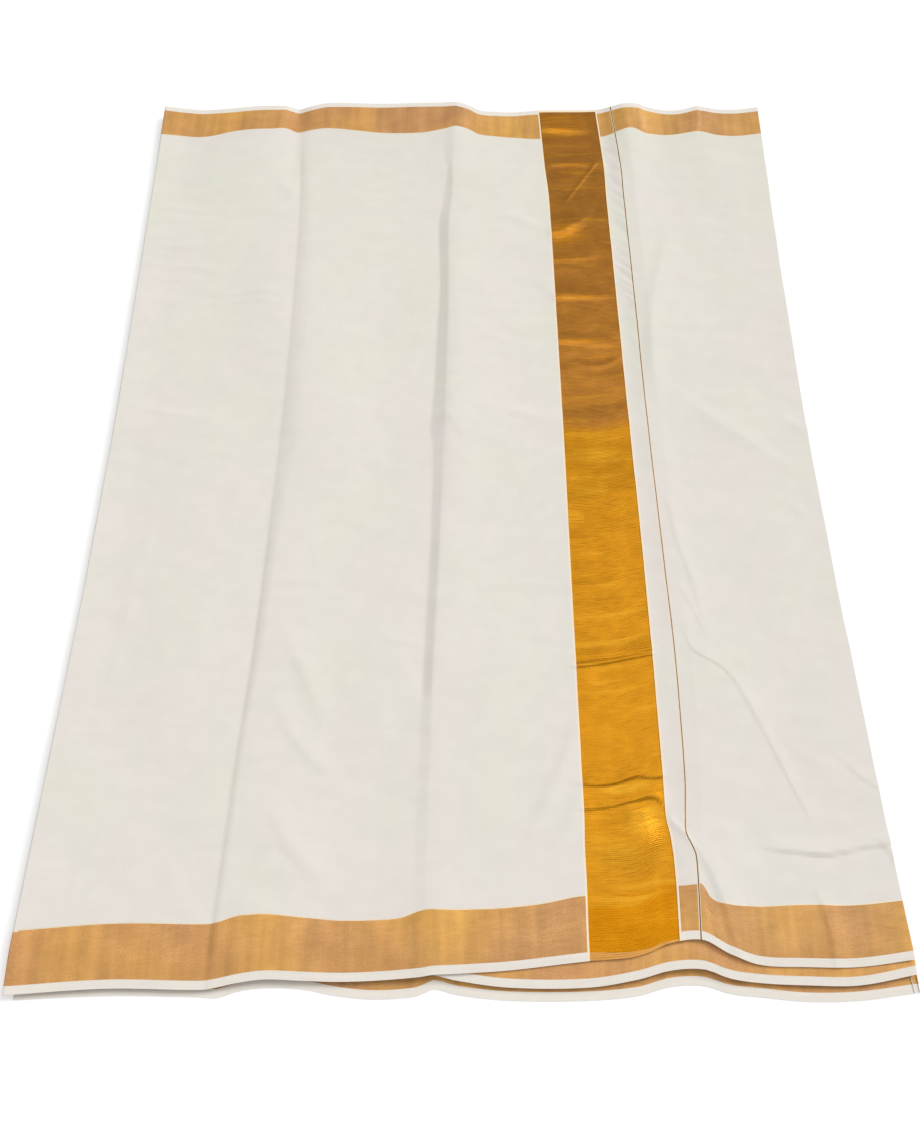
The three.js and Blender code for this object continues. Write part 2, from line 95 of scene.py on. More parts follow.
def curve(rows):
    """A smooth curve through rows of a place and its value, held level past its ends."""
    places, values = np.array(rows, float).T
    slopes = np.empty_like(values)
    slopes[1:-1] = (values[2:] - values[:-2]) / (places[2:] - places[:-2])
    slopes[[0, -1]] = (np.diff(values) / np.diff(places))[[0, -1]]

    def read(at):
        held = np.clip(at, places[0], places[-1])
        i = np.clip(np.searchsorted(places, held, side="right") - 1, 0, len(places) - 2)
        span = places[i + 1] - places[i]
        t = (held - places[i]) / span
        rise = (values[i + 1] - values[i]) * t * t * (3 - 2 * t)
        return values[i] + rise + t * (1 - t) * ((1 - t) * slopes[i] - t * slopes[i + 1]) * span

    return read


# Where the selvedges lie, from the front of the stack: x, y.
bottom_front = curve([
    (-438, 1), (-340, 5), (-250, 4), (-235, 3), (-215, 9), (-190, 12), (-155, 11), (-120, 5), (-84, 2),
    (-42, 5), (-28, 11), (-5, 6), (45, 1), (120, 1), (168, 5), (200, 13), (232, 14), (256, 7), (285, 4),
    (330, 0), (380, 1), (438, 8),
])
bottom_back = curve([
    (-438, 1199), (-380, 1195), (-280, 1194), (-239, 1193), (-195, 1195), (-100, 1197), (-12, 1198),
    (22, 1195), (75, 1192), (115, 1193), (200, 1192), (245, 1194), (345, 1194), (380, 1193), (438, 1197),
])


def side_at(side, y):
    return np.interp(y, SIDE_ROWS, SIDES[side])


def spaced(stations, steps):
    """Places from each station to the next, as evenly as the step between them asks."""
    places = [np.array([stations[0]], float)]
    for low, high, step in zip(stations, stations[1:], steps):
        places.append(np.linspace(low, high, max(round((high - low) / step), 1) + 1)[1:])
    return np.concatenate(places)


def across_to_y(across, front, back):
    """Selvedges and borders keep their widths, and the field takes up what the wavy edges leave."""
    field_share = np.clip((across - FIELD_EDGE) / FIELD_WIDTH, 0, 1)
    near = np.minimum(across, FIELD_EDGE)
    far = np.maximum(across - (STACK_DEPTH - FIELD_EDGE), 0)
    return front + near + field_share * (back - front - 2 * FIELD_EDGE) + far


def middle_of(level):
    return CLOTH / 2 + (STRETCHES - level) * LAYER_RISE


def settled(middle):
    """The layers lie down on each other towards the front, and the bottom one stays where it is."""
    kept = SETTLED + (1 - SETTLED) * eased(middle[..., 1] / SETTLING_RUN)
    low = CLOTH / 2
    return np.stack([middle[..., 0], middle[..., 1], low + (middle[..., 2] - low) * kept], -1)


def run_down(distance, run):
    """From 1 at a crest to 0 at the end of its run."""
    t = np.clip(np.abs(distance) / run, 0, 1)
    return (1 - t) ** 2 * (1 + t)


def facing(middle):
    """The way that each place of a sheet faces, from its neighbours along and across."""
    normal = np.cross(np.gradient(middle, axis=1), np.gradient(middle, axis=0))
    return normal / np.linalg.norm(normal, axis=2, keepdims=True)


def cloth_mesh(name, middle, normal, along, across):
    """One closed shell of cloth round a sheet of places, with the weave's own millimetres as its UVs."""
    rows, columns = middle.shape[:2]
    count = rows * columns
    points = np.concatenate([middle + normal * CLOTH / 2, middle - normal * CLOTH / 2]).reshape(-1, 3)
    points += [cad_box[0].x / MM - SIDES["left"][0], cad_box[0].y / MM, 0]
    number = np.arange(count).reshape(rows, columns)
    corners = [number[:-1, :-1], number[:-1, 1:], number[1:, 1:], number[1:, :-1]]
    face = np.stack(corners, -1).reshape(-1, 4)
    ring = np.concatenate([number[0], number[1:, -1], number[-1, -2::-1], number[-2:0:-1, 0]])
    after = np.roll(ring, -1)
    rim = np.stack([after, ring, ring + count, after + count], -1)
    faces = np.concatenate([face, face[:, ::-1] + count, rim])

    mesh = bpy.data.meshes.new(name)
    mesh.vertices.add(2 * count)
    mesh.vertices.foreach_set("co", (points * MM).ravel())
    mesh.loops.add(faces.size)
    mesh.loops.foreach_set("vertex_index", faces.ravel())
    mesh.polygons.add(len(faces))
    mesh.polygons.foreach_set("loop_start", np.arange(0, faces.size, 4))
    weave = np.stack(np.broadcast_arrays(along, across), -1).reshape(-1, 2) * MM
    mesh.uv_layers.new(name="Weave").data.foreach_set("uv", weave[faces.ravel() % count].ravel())
    mesh.update(calc_edges=True)
    # Both faces are shaded as the whole sheet lies, so no seam shows where two zones meet.
    mesh.normals_split_custom_set_from_vertices(np.concatenate([normal, -normal]).reshape(-1, 3))
    return mesh


def add_object(name, data):
    made = bpy.data.objects.new(name, data)
    bpy.context.scene.collection.objects.link(made)
    return made


def add_piece(node, material, slot, *sheet):
    """A shell of cloth that stands for a node of the frame and rides with the saree's one body."""
    mesh = cloth_mesh("cloth_" + node, *sheet)
    mesh.materials.append(material)
    piece = add_object("cloth_" + node, mesh)
    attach(piece, "root")
    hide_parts(node)
    return piece


def fill_in(node, inputs):
    """Each input of a shader node is linked to the socket given for it, or set to the value."""
    for name, value in inputs.items():
        if isinstance(value, bpy.types.NodeSocket):
            node.id_data.links.new(value, node.inputs[name])
        else:
            node.inputs[name].default_value = value
    return node


def add_node(kind, inputs, **settings):
    """The outputs of a new shader node, in the tree that the sockets among its inputs come from."""
    tree = next(value.id_data for value in inputs.values() if isinstance(value, bpy.types.NodeSocket))
    made = tree.nodes.new("ShaderNode" + kind)
    for name, value in settings.items():
        setattr(made, name, value)
    return fill_in(made, inputs).outputs


def math_node(operation, *values):
    return add_node("Math", dict(enumerate(values)), operation=operation)[0]


def times(value, factor):
    return math_node("MULTIPLY", value, factor)


def times_plus(value, factor, rest):
    return math_node("MULTIPLY_ADD", value, factor, rest)


def distance_from(value, centre):
    return math_node("ABSOLUTE", math_node("SUBTRACT", value, centre))


def parts_of(place):
    """How far along the weave and across it a place lies, in metres."""
    return list(add_node("SeparateXYZ", {0: place}))[:2]


def scaled(place, along, across):
    """The weave's place counted in steps of so many metres along the cloth and across it."""
    return add_node("VectorMath", {0: place, 1: (1 / along, 1 / across, 1)}, operation="MULTIPLY")[0]


def noise(place, along, across, detail=1.0):
    """Soft noise about 0, in spots of so many metres along and across the weave."""
    spots = {"Vector": scaled(place, along, across), "Scale": 1.0, "Detail": detail}
    return math_node("SUBTRACT", add_node("TexNoise", spots, noise_dimensions="2D")["Fac"], 0.5)


def ranged(value, low, high, at_low=0.0, at_high=1.0, **settings):
    """Carries a value between two bounds to its place between two others."""
    inputs = {"Value": value, "From Min": low, "From Max": high, "To Min": at_low, "To Max": at_high}
    return add_node("MapRange", inputs, **settings)[0]


def mixed(share, first, second):
    """Two colours mixed: a Mix node takes them at its inputs 6 and 7, and gives its output 2."""
    return add_node("Mix", {0: share, 6: first, 7: second}, data_type="RGBA")[2]


def new_group(name, inputs, outputs):
    """A node group of a place and numbers, from which come other numbers."""
    tree = bpy.data.node_groups.new(name, "ShaderNodeTree")
    tree.interface.new_socket(name="Place", in_out="INPUT", socket_type="NodeSocketVector")
    for in_out, sockets in (("INPUT", inputs), ("OUTPUT", outputs)):
        for socket in sockets:
            tree.interface.new_socket(name=socket, in_out=in_out, socket_type="NodeSocketFloat")
    return tree, tree.nodes.new("NodeGroupInput").outputs, tree.nodes.new("NodeGroupOutput")


# The plain weave that cotton and selvedge share: threads over and under each other, here and there a
# thicker one, and slow drifts of tone where the yarn was washed and starched.
THREAD_HEIGHT = 0.35
SLUB_HEIGHT = 2.0
SLUB_TONE = 0.12
MOTTLING = 0.062
DRIFT = 2.6  # between the cotton's two tones
ROSY_AT_FRONT = 0.92  # how far the drift is on its rosy side at the front edge
ROSY_FALL = -0.5  # and how that changes with each metre towards the back
ROSY_EASE = 0.1  # how softly it stops at the rosiest
plain_weave, given, result = new_group("Plain weave", ["Thread", "Slubs"], ["Height", "Tone", "Drift"])
place = given["Place"]
along, across = parts_of(place)
half_turn = math_node("DIVIDE", math.pi, given["Thread"])
warp = math_node("SINE", times(along, half_turn))
weft = math_node("SINE", times(across, half_turn))
warp_slubs = noise(place, along=0.055, across=0.0011)
weft_slubs = noise(place, along=0.0013, across=0.07)
slubs = times(math_node("ADD", warp_slubs, weft_slubs), given["Slubs"])
mottled = times_plus(noise(place, along=0.022, across=0.016, detail=2.0), MOTTLING, 1.0)
rosy = times_plus(across, ROSY_FALL, ROSY_AT_FRONT)
drift = times_plus(noise(place, along=0.09, across=0.12, detail=3.0), DRIFT, rosy)
fill_in(result, {
    "Height": times_plus(slubs, SLUB_HEIGHT, times(times(warp, weft), THREAD_HEIGHT)),
    "Tone": times_plus(slubs, SLUB_TONE, mottled),
    "Drift": math_node("SMOOTH_MIN", drift, 1.0, ROSY_EASE),
})


def new_material(name):
    """A material with its Principled shader and the place on the weave."""
    material = bpy.data.materials.new(name)
    material.use_nodes = True
    nodes = material.node_tree.nodes
    place = nodes.new("ShaderNodeUVMap")
    place.uv_map = "Weave"
    return material, nodes["Principled BSDF"], place.outputs[0]


def use_group(group, **inputs):
    return add_node("Group", inputs, node_tree=group)


def toned(colour, tone):
    """A colour made lighter or darker by a tone about 1."""
    colour = colour[:3] if isinstance(colour, tuple) else colour
    return add_node("VectorMath", {0: colour, "Scale": tone}, operation="SCALE")[0]


def bumped(height, distance):
    return add_node("Bump", {"Strength": 1.0, "Distance": distance, "Height": height})[0]


# The field's cotton: soft, matt and off-white, a little rosy in one place and a little green in the next.
COTTON_ROSY = (0.742, 0.694, 0.645, 1)
COTTON_CREAM = (0.724, 0.706, 0.614, 1)
cotton, surface, place = new_material("Cream cotton")
weave = use_group(plain_weave, Place=place, Thread=0.0004, Slubs=0.25)
fill_in(surface, {
    "Base Color": toned(mixed(weave["Drift"], COTTON_CREAM, COTTON_ROSY), weave["Tone"]),
    "Normal": bumped(weave["Height"], distance=0.00004),
    "Roughness": 0.85,
    "Specular IOR Level": 0.25,
    "Sheen Weight": 0.12,
    "Sheen Roughness": 0.5,
})

# The selvedge: the same yarn beaten up closer, so it is whiter and its long threads show.
SELVEDGE_WHITE = (0.79, 0.735, 0.66, 1)
LONG_THREAD_TONE = 0.08
LONG_THREAD_HEIGHT = 2.0
selvedge_white, surface, place = new_material("Selvedge cotton")
weave = use_group(plain_weave, Place=place, Thread=0.0003, Slubs=0.4)
long_threads = noise(place, along=0.2, across=0.0009)
fill_in(surface, {
    "Base Color": toned(SELVEDGE_WHITE, times_plus(long_threads, LONG_THREAD_TONE, weave["Tone"])),
    "Normal": bumped(times_plus(long_threads, LONG_THREAD_HEIGHT, weave["Height"]), distance=0.00006),
    "Roughness": 0.8,
    "Specular IOR Level": 0.3,
    "Sheen Weight": 0.1,
    "Sheen Roughness": 0.5,
})

# The gold thread of borders, band and line: a flat strip wound round a core. Its glitter in grains
# and the shine along its ribs are painted highlights in its tone, and it takes bars of lighter and darker
# tone.
RIB_WANDER = 4.0  # in radians
RIB_BREAKS = (1.6, 0.4)  # how much the ribs' strength varies, and about what
SLACK_PICKS = 0.9
PATCH_TONE = 0.22
GRAIN_TONE = 0.22
GLITTER_IN_PATCHES = 0.3
GLITTER_ABOVE = 0.12
gold_thread, given, result = new_group(
    "Gold thread", ["Rib", "Shine", "Bars", "Grain"], ["Height", "Tone", "Glitter"]
)
place = given["Place"]
across = parts_of(place)[1]
rib_count = math_node("DIVIDE", across, given["Rib"])
rib_wander = times(noise(place, along=0.05, across=0.03, detail=2.0), RIB_WANDER)
rib_turn = times_plus(rib_count, 2 * math.pi, rib_wander)
broken = times_plus(noise(place, along=0.014, across=0.003), *RIB_BREAKS)
even_ribs = times(math_node("SINE", rib_turn), broken)
ribs = times_plus(noise(place, along=0.012, across=0.0024, detail=0.0), SLACK_PICKS, even_ribs)
grains = noise(place, along=0.0011, across=0.0009)
bars = noise(place, along=0.013, across=0.16, detail=2.0)
patches = noise(place, along=0.03, across=0.02, detail=2.0)
# The ribs' Shine is a painted highlight along each rib, lightening its tone.
tone = times_plus(bars, given["Bars"], times_plus(ribs, given["Shine"], 1.0))
tone = times_plus(patches, PATCH_TONE, tone)
fill_in(result, {
    "Height": times_plus(grains, given["Grain"], ribs),
    "Tone": times_plus(grains, GRAIN_TONE, tone),
    # Glitter: grains of painted glints, where the flat strip would catch the light.
    "Glitter": math_node("GREATER_THAN", times_plus(patches, GLITTER_IN_PATCHES, grains), GLITTER_ABOVE),
})

# The border: gold thread among cotton, so it reads as tan, with a fine cream line along its inner edge.
BORDER_TAN = (0.528, 0.252, 0.088, 1)
BORDER_YELLOW = (0.672, 0.342, 0.066, 1)
# The colour of the border's painted glints.
BORDER_GLITTER = (0.68, 0.39, 0.13, 1)
BORDER_CREAM = (0.78, 0.66, 0.48, 1)
BORDER_CREAM_LINE = 0.0011  # in metres
BORDER_YELLOW_BOUNDS = (-0.16, 0.22)  # between which the noise turns tan to yellow
BORDER_GLITTERS = 0.55
BORDER_SIDE_SHADE = (-0.43, 0.43, 0.075, -0.09)  # painted shade from the left side to the right: lighter, then darker
border_gold, surface, place = new_material("Border gold")
along, across = parts_of(place)
thread = use_group(gold_thread, Place=place, Rib=0.0009, Shine=0.05, Bars=0.46, Grain=0.9)
from_front = distance_from(across, FIELD_EDGE * MM)
from_back = distance_from(across, (STACK_DEPTH - FIELD_EDGE) * MM)
cream_line = math_node("LESS_THAN", math_node("MINIMUM", from_front, from_back), BORDER_CREAM_LINE)
# Broad patches of noise turn the border from tan to yellow.
yellow_share = ranged(noise(place, along=0.13, across=0.16), *BORDER_YELLOW_BOUNDS)
gold = mixed(yellow_share, BORDER_TAN, BORDER_YELLOW)
# Painted glints: the grains where the gold thread would catch the light are mixed lighter.
gold = mixed(times(thread["Glitter"], BORDER_GLITTERS), gold, BORDER_GLITTER)
# The border's tone is painted lighter at the left side and darker at the right.
gold = toned(gold, math_node("ADD", thread["Tone"], ranged(along, *BORDER_SIDE_SHADE)))
fill_in(surface, {
    "Base Color": mixed(cream_line, gold, BORDER_CREAM),
    "Normal": bumped(thread["Height"], distance=0.00008),
    "Metallic": 0.15,
    "Roughness": 0.5,
})

# Each zone across the weave: where it begins and ends, its rows' step, material and record slot.
ZONES = [
    ("front_selvedge", 0, SELVEDGE, 3.2, selvedge_white, "selvedge_cotton"),
    ("front_border", SELVEDGE, FIELD_EDGE, 4, border_gold, "border_gold"),
    ("field", FIELD_EDGE, STACK_DEPTH - FIELD_EDGE, 13, cotton, "field_cotton"),
    ("back_border", STACK_DEPTH - FIELD_EDGE, STACK_DEPTH - SELVEDGE, 4, border_gold, "border_gold"),
    ("back_selvedge", STACK_DEPTH - SELVEDGE, STACK_DEPTH, 3.2, selvedge_white, "selvedge_cotton"),
]
ZONE_EDGES = [zone[1] for zone in ZONES] + [STACK_DEPTH]
LAYER_ROWS = spaced(ZONE_EDGES, [zone[3] for zone in ZONES])
STATIONS = np.linspace(0, 1, 109)  # along a level run


def ridge_height(x, y, crease):
    """A straight crease with soft ends."""
    x0, y0, x1, y1, half_width, high = crease
    length = math.hypot(x1 - x0, y1 - y0)
    run = ((x - x0) * (x1 - x0) + (y - y0) * (y1 - y0)) / length
    off = ((x - x0) * (y1 - y0) - (y - y0) * (x1 - x0)) / length
    return high * run_down(off, half_width) * eased(np.minimum(run, length - run) / CREASE_ENDS)


def turn_path(side, across, inset, level, top=None):
    """A half-round turn, from a layer or from a height above it to the layer below: x, z and level."""
    outwards = -1 if side == "left" else 1
    bottom = middle_of(level + 1)
    radius = ((middle_of(level) if top is None else top) - bottom) / 2
    centre = side_at(side, across) - outwards * (inset + radius + CLOTH / 2)
    angle = np.linspace(0, math.pi, TURN_STEPS + 1)
    x = centre + outwards * radius * np.sin(angle)
    return x, bottom + radius + radius * np.cos(angle), level + angle / math.pi


def level_run(level, start, end, stations):
    """The level part of a stretch, from one x to another: x, z and level."""
    x = np.interp(stations, [0, 1], [start, end])
    return x, np.full(len(x), middle_of(level)), np.full(len(x), float(level))


def joined(*paths):
    return [np.concatenate(column) for column in zip(*paths)]


def laid_path(rows, path_at, edges):
    """Lays paths seen from the front, one for each row, as a sheet: its places, and the way along each."""
    middle, along = [], []
    for across in rows:
        x, z, level = path_at(across)
        steps = np.hypot(np.diff(x), np.diff(z))
        along.append(np.concatenate([[0], np.cumsum(steps)]))
        front, back = edges(x, level)
        middle.append(np.stack([x, across_to_y(across, front, back), z], -1))
    return np.array(middle), np.array(along)


def add_zones(stretch, rows, middle, normal, along):
    """The five zones of a stretch, each a shell of its own."""
    for zone, low, high, _, material, slot in ZONES:
        own = (rows >= low - SAME) & (rows <= high + SAME)
        sheet = middle[own], normal[own], along[own], rows[own][:, None]
        add_piece(stretch + "_" + zone, material, slot, *sheet)


def add_stretch(stretch, middle, along):
    middle = settled(middle)
    add_zones(stretch, LAYER_ROWS, middle, facing(middle), along)


def bottom_path(across):
    turn = turn_path("right", across, inset=0, level=STRETCHES - 1)
    inner_end = side_at("left", across) + BOTTOM_END
    return joined(turn, level_run(STRETCHES, turn[0][-1], inner_end, STATIONS[1:]))


middle, along = laid_path(LAYER_ROWS, bottom_path, lambda x, level: (bottom_front(x), bottom_back(x)))
for crease in UNDERSIDE_CREASES:
    rise = ridge_height(middle[..., 0], middle[..., 1], crease)
    middle[..., 2] += np.where(middle[..., 2] < middle_of(STRETCHES) + SAME, rise, 0)
add_stretch("bottom", middle, along)


# ------------------------------------------------------------
# The layers between. Four stretches of the same length lie between the second and the bottom one,
# joined by soft turns at the sides. Only their edges and turns ever show, all cream, white and gold.
hidden_front = curve([
    (-438, 12), (-340, 19), (-250, 20), (-235, 22), (-215, 25), (-155, 27), (-84, 28), (-42, 30), (-28, 28),
    (-5, 26), (45, 20), (120, 20), (168, 26), (200, 33), (232, 35), (256, 28), (285, 24), (330, 21),
    (380, 21), (438, 30),
])
hidden_back = curve([
    (-438, 1197), (-380, 1191), (-280, 1191), (-222, 1190), (-100, 1193), (-12, 1194), (22, 1191),
    (75, 1188), (115, 1189), (200, 1188), (245, 1190), (345, 1190), (380, 1189), (438, 1193),
])

# Where the second stretch's selvedges lie, which the third one meets at the right.
second_front = curve([
    (-438, 5), (-340, 14), (-250, 15), (-235, 17), (-215, 20), (-190, 23), (-120, 23), (-84, 24), (-42, 25),
    (-28, 23), (-5, 18), (45, 12), (120, 12), (168, 19), (200, 27), (232, 28), (256, 20), (285, 16),
    (330, 14), (380, 14), (438, 24),
])
second_back = curve([
    (-438, 1206), (-380, 1197), (-280, 1197), (-239, 1199), (-195, 1198), (-100, 1200), (-12, 1201),
    (22, 1197), (75, 1194), (115, 1195), (200, 1194), (245, 1197), (300, 1195), (345, 1196), (380, 1195),
    (438, 1199),
])

# How far each hidden stretch's edges lie behind those, at the left and at the right, and how far the
# turn that ends it stops short of the side.
THIRD, SIXTH = 3, 6  # the first and the last of the hidden stretches
HIDDEN_STEPS = {THIRD: (0, 0), 4: (0, 4), 5: (-2, 4), SIXTH: (-2, -2)}
HIDDEN_TURNS = [(THIRD, "left", 5), (4, "right", 6), (5, "left", 3)]
MEETING_RUNS = {THIRD: 150, SIXTH: 8}  # over which these meet the second and the bottom stretch
MEETING_STEPS = 5
HIDDEN_EDGES = [
    (hidden_front, 1, {THIRD: second_front, SIXTH: bottom_front}),
    (hidden_back, -1, {THIRD: second_back, SIXTH: bottom_back}),
]
HIDDEN_STATIONS = np.linspace(0, 1, 46)[1:-1]
HIDDEN_ROWS = spaced(ZONE_EDGES, [3.2, 6, 30, 6, 3.2])


def hidden_edge(level, x, edge, step, meets):
    """One edge of a hidden stretch, which meets its neighbour's where they share a turn."""
    own = edge(x) + step * np.interp(x, [SIDES["left"][0], SIDES["right"][0]], HIDDEN_STEPS[level])
    if level not in meets:
        return own
    run = MEETING_RUNS[level]
    met = (x - SIDES["right"][0] + run) / (run - TURN_SEAM)
    return own + eased(met) * (meets[level](x) - own)


def hidden_edges(x, level):
    """Both edges at places of any level, which lies between two stretches in the turns."""
    upper = np.clip(np.floor(level).astype(int), THIRD, SIXTH)
    lower = np.clip(upper + 1, THIRD, SIXTH)
    sides = []
    for shape in HIDDEN_EDGES:
        edges = [hidden_edge(n, x, *shape) for n in HIDDEN_STEPS]
        above, below = (np.select([at == n for n in HIDDEN_STEPS], edges) for at in (upper, lower))
        sides.append(above + (level - upper) * (below - above))
    return sides


def hidden_path(across):
    start = side_at("right", across) - TURN_SEAM
    paths = [level_run(THIRD, start, start, [0])]
    for level, side, inset in HIDDEN_TURNS:
        turn = turn_path(side, across, inset, level)
        reached = paths[-1][0][-1]
        paths += [level_run(level, reached, turn[0][0], HIDDEN_STATIONS), turn]
    meeting = start - MEETING_RUNS[SIXTH]
    paths.append(level_run(SIXTH, turn[0][-1], meeting, HIDDEN_STATIONS))
    paths.append(level_run(SIXTH, meeting, start, np.linspace(0, 1, MEETING_STEPS + 1)))
    return joined(*paths)


middle, along = laid_path(HIDDEN_ROWS, hidden_path, hidden_edges)
middle = settled(middle)
sheet = middle, facing(middle), along, HIDDEN_ROWS[:, None]
layers = add_piece("hidden_layers", cotton, "field_cotton", *sheet)

# Its field is the cotton of material 0, its borders are material 1 and its selvedges material 2.
mesh = layers.data
mesh.materials.append(border_gold)
mesh.materials.append(selvedge_white)
weave_place = np.empty(len(mesh.loops) * 2)
mesh.uv_layers["Weave"].data.foreach_get("uv", weave_place)
face_across = weave_place.reshape(-1, 4, 2)[..., 1].mean(1) / MM
from_edge = np.minimum(face_across, STACK_DEPTH - face_across)
material_number = np.select([from_edge < SELVEDGE, from_edge < FIELD_EDGE], [2, 1], 0)
mesh.polygons.foreach_set("material_index", material_number)


# ------------------------------------------------------------
# The top stretch. It is the saree's outer end, ironed and folded small for the shop, then opened out:
# the old folds still stand as long ridges and valleys, low ridges cross them, and small creases run
# between. Its field, borders and selvedges are in three spans, with the gold band and thin line between.
top_front = curve([
    (-438, 5), (-340, 11), (-250, 10), (-235, 12), (-215, 16), (-190, 19), (-155, 18), (-120, 17), (-84, 18),
    (-42, 21), (-28, 23), (-5, 24), (45, 27), (120, 35), (160, 38), (180, 43), (200, 51), (232, 54),
    (256, 42), (285, 32), (330, 30), (380, 30), (438, 37),
])
top_back = curve([
    (-438, 1206), (-400, 1203), (-380, 1201), (-340, 1201), (-300, 1203), (-275, 1204), (-255, 1205),
    (-239, 1203), (-222, 1203), (-195, 1208), (-100, 1209), (-12, 1208), (10, 1204), (25, 1197), (50, 1197),
    (75, 1198), (110, 1201), (200, 1202), (218, 1202), (245, 1204), (270, 1205), (300, 1200), (320, 1200),
    (345, 1205), (370, 1203), (400, 1202), (438, 1206),
])

# How far the borders' inner edges wander from the line of their selvedges, where the cloth lies askew.
front_wander = curve([
    (-438, 1), (-400, 1.5), (-300, 2.5), (-240, 3), (-222, 5), (-205, 4), (-180, 2), (-150, 0.5), (-120, -1),
    (-85, -1.5), (-60, -1), (-40, 4), (-25, 3), (0, 1.5), (75, 1), (122, 4), (200, -3), (218, -6), (230, -5),
    (237, -3), (244, -12), (262, -9), (285, -3), (345, 1), (380, 0), (438, -2),
])
back_wander = curve([
    (-438, 0), (-410, 1), (-380, 1), (-360, 3), (-330, 9), (-275, 10), (-255, 12), (-240, 9), (-222, 10),
    (-180, 7), (-150, 2), (-110, -2), (-60, -2), (-25, 5), (-8, 9), (25, 8), (75, 4), (110, -2), (205, 2),
    (245, 10), (265, 2), (285, 4), (320, 9), (345, 7), (370, 3), (438, 3),
])
WANDER_REACH = 150

# How far the top stretch stands off the cloth below it along those edges: x, height.
front_lift = curve([
    (-438, 0.5), (-340, 1), (-250, 0.5), (-235, 0), (-215, 2), (-190, 2.5), (-155, 2), (-120, 1), (-84, 1),
    (-42, 2.5), (-28, 3), (-5, 1.5), (45, 0.5), (120, 0.8), (168, 1.4), (200, 2.4), (232, 3), (256, 1.4),
    (285, 0.5), (380, 0.5), (438, 1.2),
])
back_lift = curve([
    (-438, 3), (-380, 2), (-340, 4), (-280, 7), (-255, 5), (-239, 2), (-222, 5), (-195, 7), (-100, 7),
    (-12, 9), (22, 4), (75, 1), (115, 2), (200, 2), (245, 9), (275, 4), (300, 3), (345, 5), (380, 2),
    (438, 3),
])
FRONT_LIFT_REACH = 120
BACK_LIFT_REACH = 190


def columns_of(table):
    """A smooth curve for each column of a table, through the places in its first one."""
    return [curve([(row[0], row[i]) for row in table]) for i in range(1, len(table[0]))]


# The lines that run from front to back: y, then the valley fold, the ridge fold, the band's two edges
# and the thin line.
LINE_NAMES = ["valley", "ridge", "band_left", "band_right", "line"]
lines = dict(zip(LINE_NAMES, columns_of([
    (0, -246, -36, 120.5, 209, 228),
    (60, -245, -36, 120.5, 212, 230.5),
    (108, -243, -36, 121.5, 213.5, 233),
    (134, -242, -36, 121.5, 213.5, 233.5),
    (144, -241.5, -36, 121.5, 213, 230.5),
    (156, -241, -36, 122, 212, 226),
    (172, -240, -36, 122.5, 209.5, 227),
    (210, -239, -35, 122.5, 210, 230.5),
    (350, -231, -31, 122.5, 210.5, 233),
    (480, -227, -26, 122.5, 210, 231),
    (660, -223, -21, 122.5, 207.5, 228),
    (850, -223, -17.5, 121.5, 205.5, 227),
    (980, -225, -18, 120.5, 204, 226),
    (1036, -227, -13, 119.5, 203.5, 225.5),
    (1090, -230, -13, 116, 203.5, 225),
    (1208, -239, -8, 111, 197, 217),
])))
LINE_WIDTH = 2.4

# The long folds: line, crest from it, run down to its left and right, height at front, middle and back.
LONG_FOLDS = [
    ("left", 0, 1, 46, 2, 1.6, 2.4),
    ("line", -1, 20, 40, 0, 1.4, 1.3),
    ("line", 17, 34, 58, 1.6, 1.2, 3.2),
    ("right", 0, 34, 1, 0.8, 0.5, 1),
]

# The valley fold: y, how high the cloth rises to its left and to its right, and that right side's run.
valley_fold = columns_of([
    (0, 1, 1.6, 9), (100, 1, 1.9, 9), (240, 1, 2.1, 9), (320, 1, 2.8, 11), (350, 1, 3.3, 13),
    (480, 1.2, 3.4, 15), (560, 1.4, 3.5, 21), (650, 1.1, 4.2, 26), (850, 1, 4.2, 26), (1000, 1, 3.4, 21),
    (1090, 1, 2.4, 16), (1130, 1, 1, 26), (1208, 1.6, 2.4, 22),
])
VALLEY_LEFT_RUN = 80
VALLEY_FADE = 110  # over which each side sinks back again

# The standing fold: y, the width of its steep left side, pressed flat, how high that side rises, the
# height of the crest, whose rest comes up slowly, and how much more it rises over its shoulder.
standing_fold = columns_of([
    (0, 12, 0.5, 1.4, 0.2), (100, 12, 1, 1.9, 0.2), (200, 11, 1.5, 2.8, 0.3), (290, 11, 2.4, 3.8, 0.4),
    (300, 10, 2.8, 4, 0.4), (309, 11, 4.6, 4.6, 0.5), (340, 11, 4.8, 4.8, 0.6), (400, 11, 4.5, 4.6, 0.6),
    (440, 11, 4.5, 4.6, 0.6), (500, 11, 4.6, 4.8, 0.8), (560, 12, 4.6, 5, 1.2), (600, 13, 4.4, 5.6, 1.4),
    (622, 14, 4.6, 6, 1.4), (634, 17, 6, 6.6, 1.5), (642, 18, 7.2, 7.2, 1.6), (657, 17, 7.2, 7.2, 1.8),
    (700, 15.5, 6.6, 6.7, 1.8), (760, 14.5, 6.3, 6.4, 1.4), (800, 14, 6.2, 6.2, 1.2),
    (860, 12, 5.8, 5.9, 1.2), (908, 12, 5.4, 5.6, 1.2), (940, 13, 6, 6, 1.1), (968, 13.5, 6.2, 6.2, 1),
    (990, 13, 5.6, 5.8, 0.8), (1008, 12, 4.4, 5.2, 0.8), (1036, 11, 3.8, 4.8, 0.6), (1085, 8, 2.4, 4.2, 0.5),
    (1110, 14, 2.2, 3.8, 0.4), (1150, 16, 2, 3.4, 0.2), (1208, 20, 2.2, 3, 0),
])
STANDING_FOOT = 0.004  # how softly its steep side begins
STANDING_SHOULDER = 18
SHOULDER_END = 8  # by so many times that width, it has run out
STANDING_LEFT_RUN = 46
STANDING_RUN = 125  # of its right side

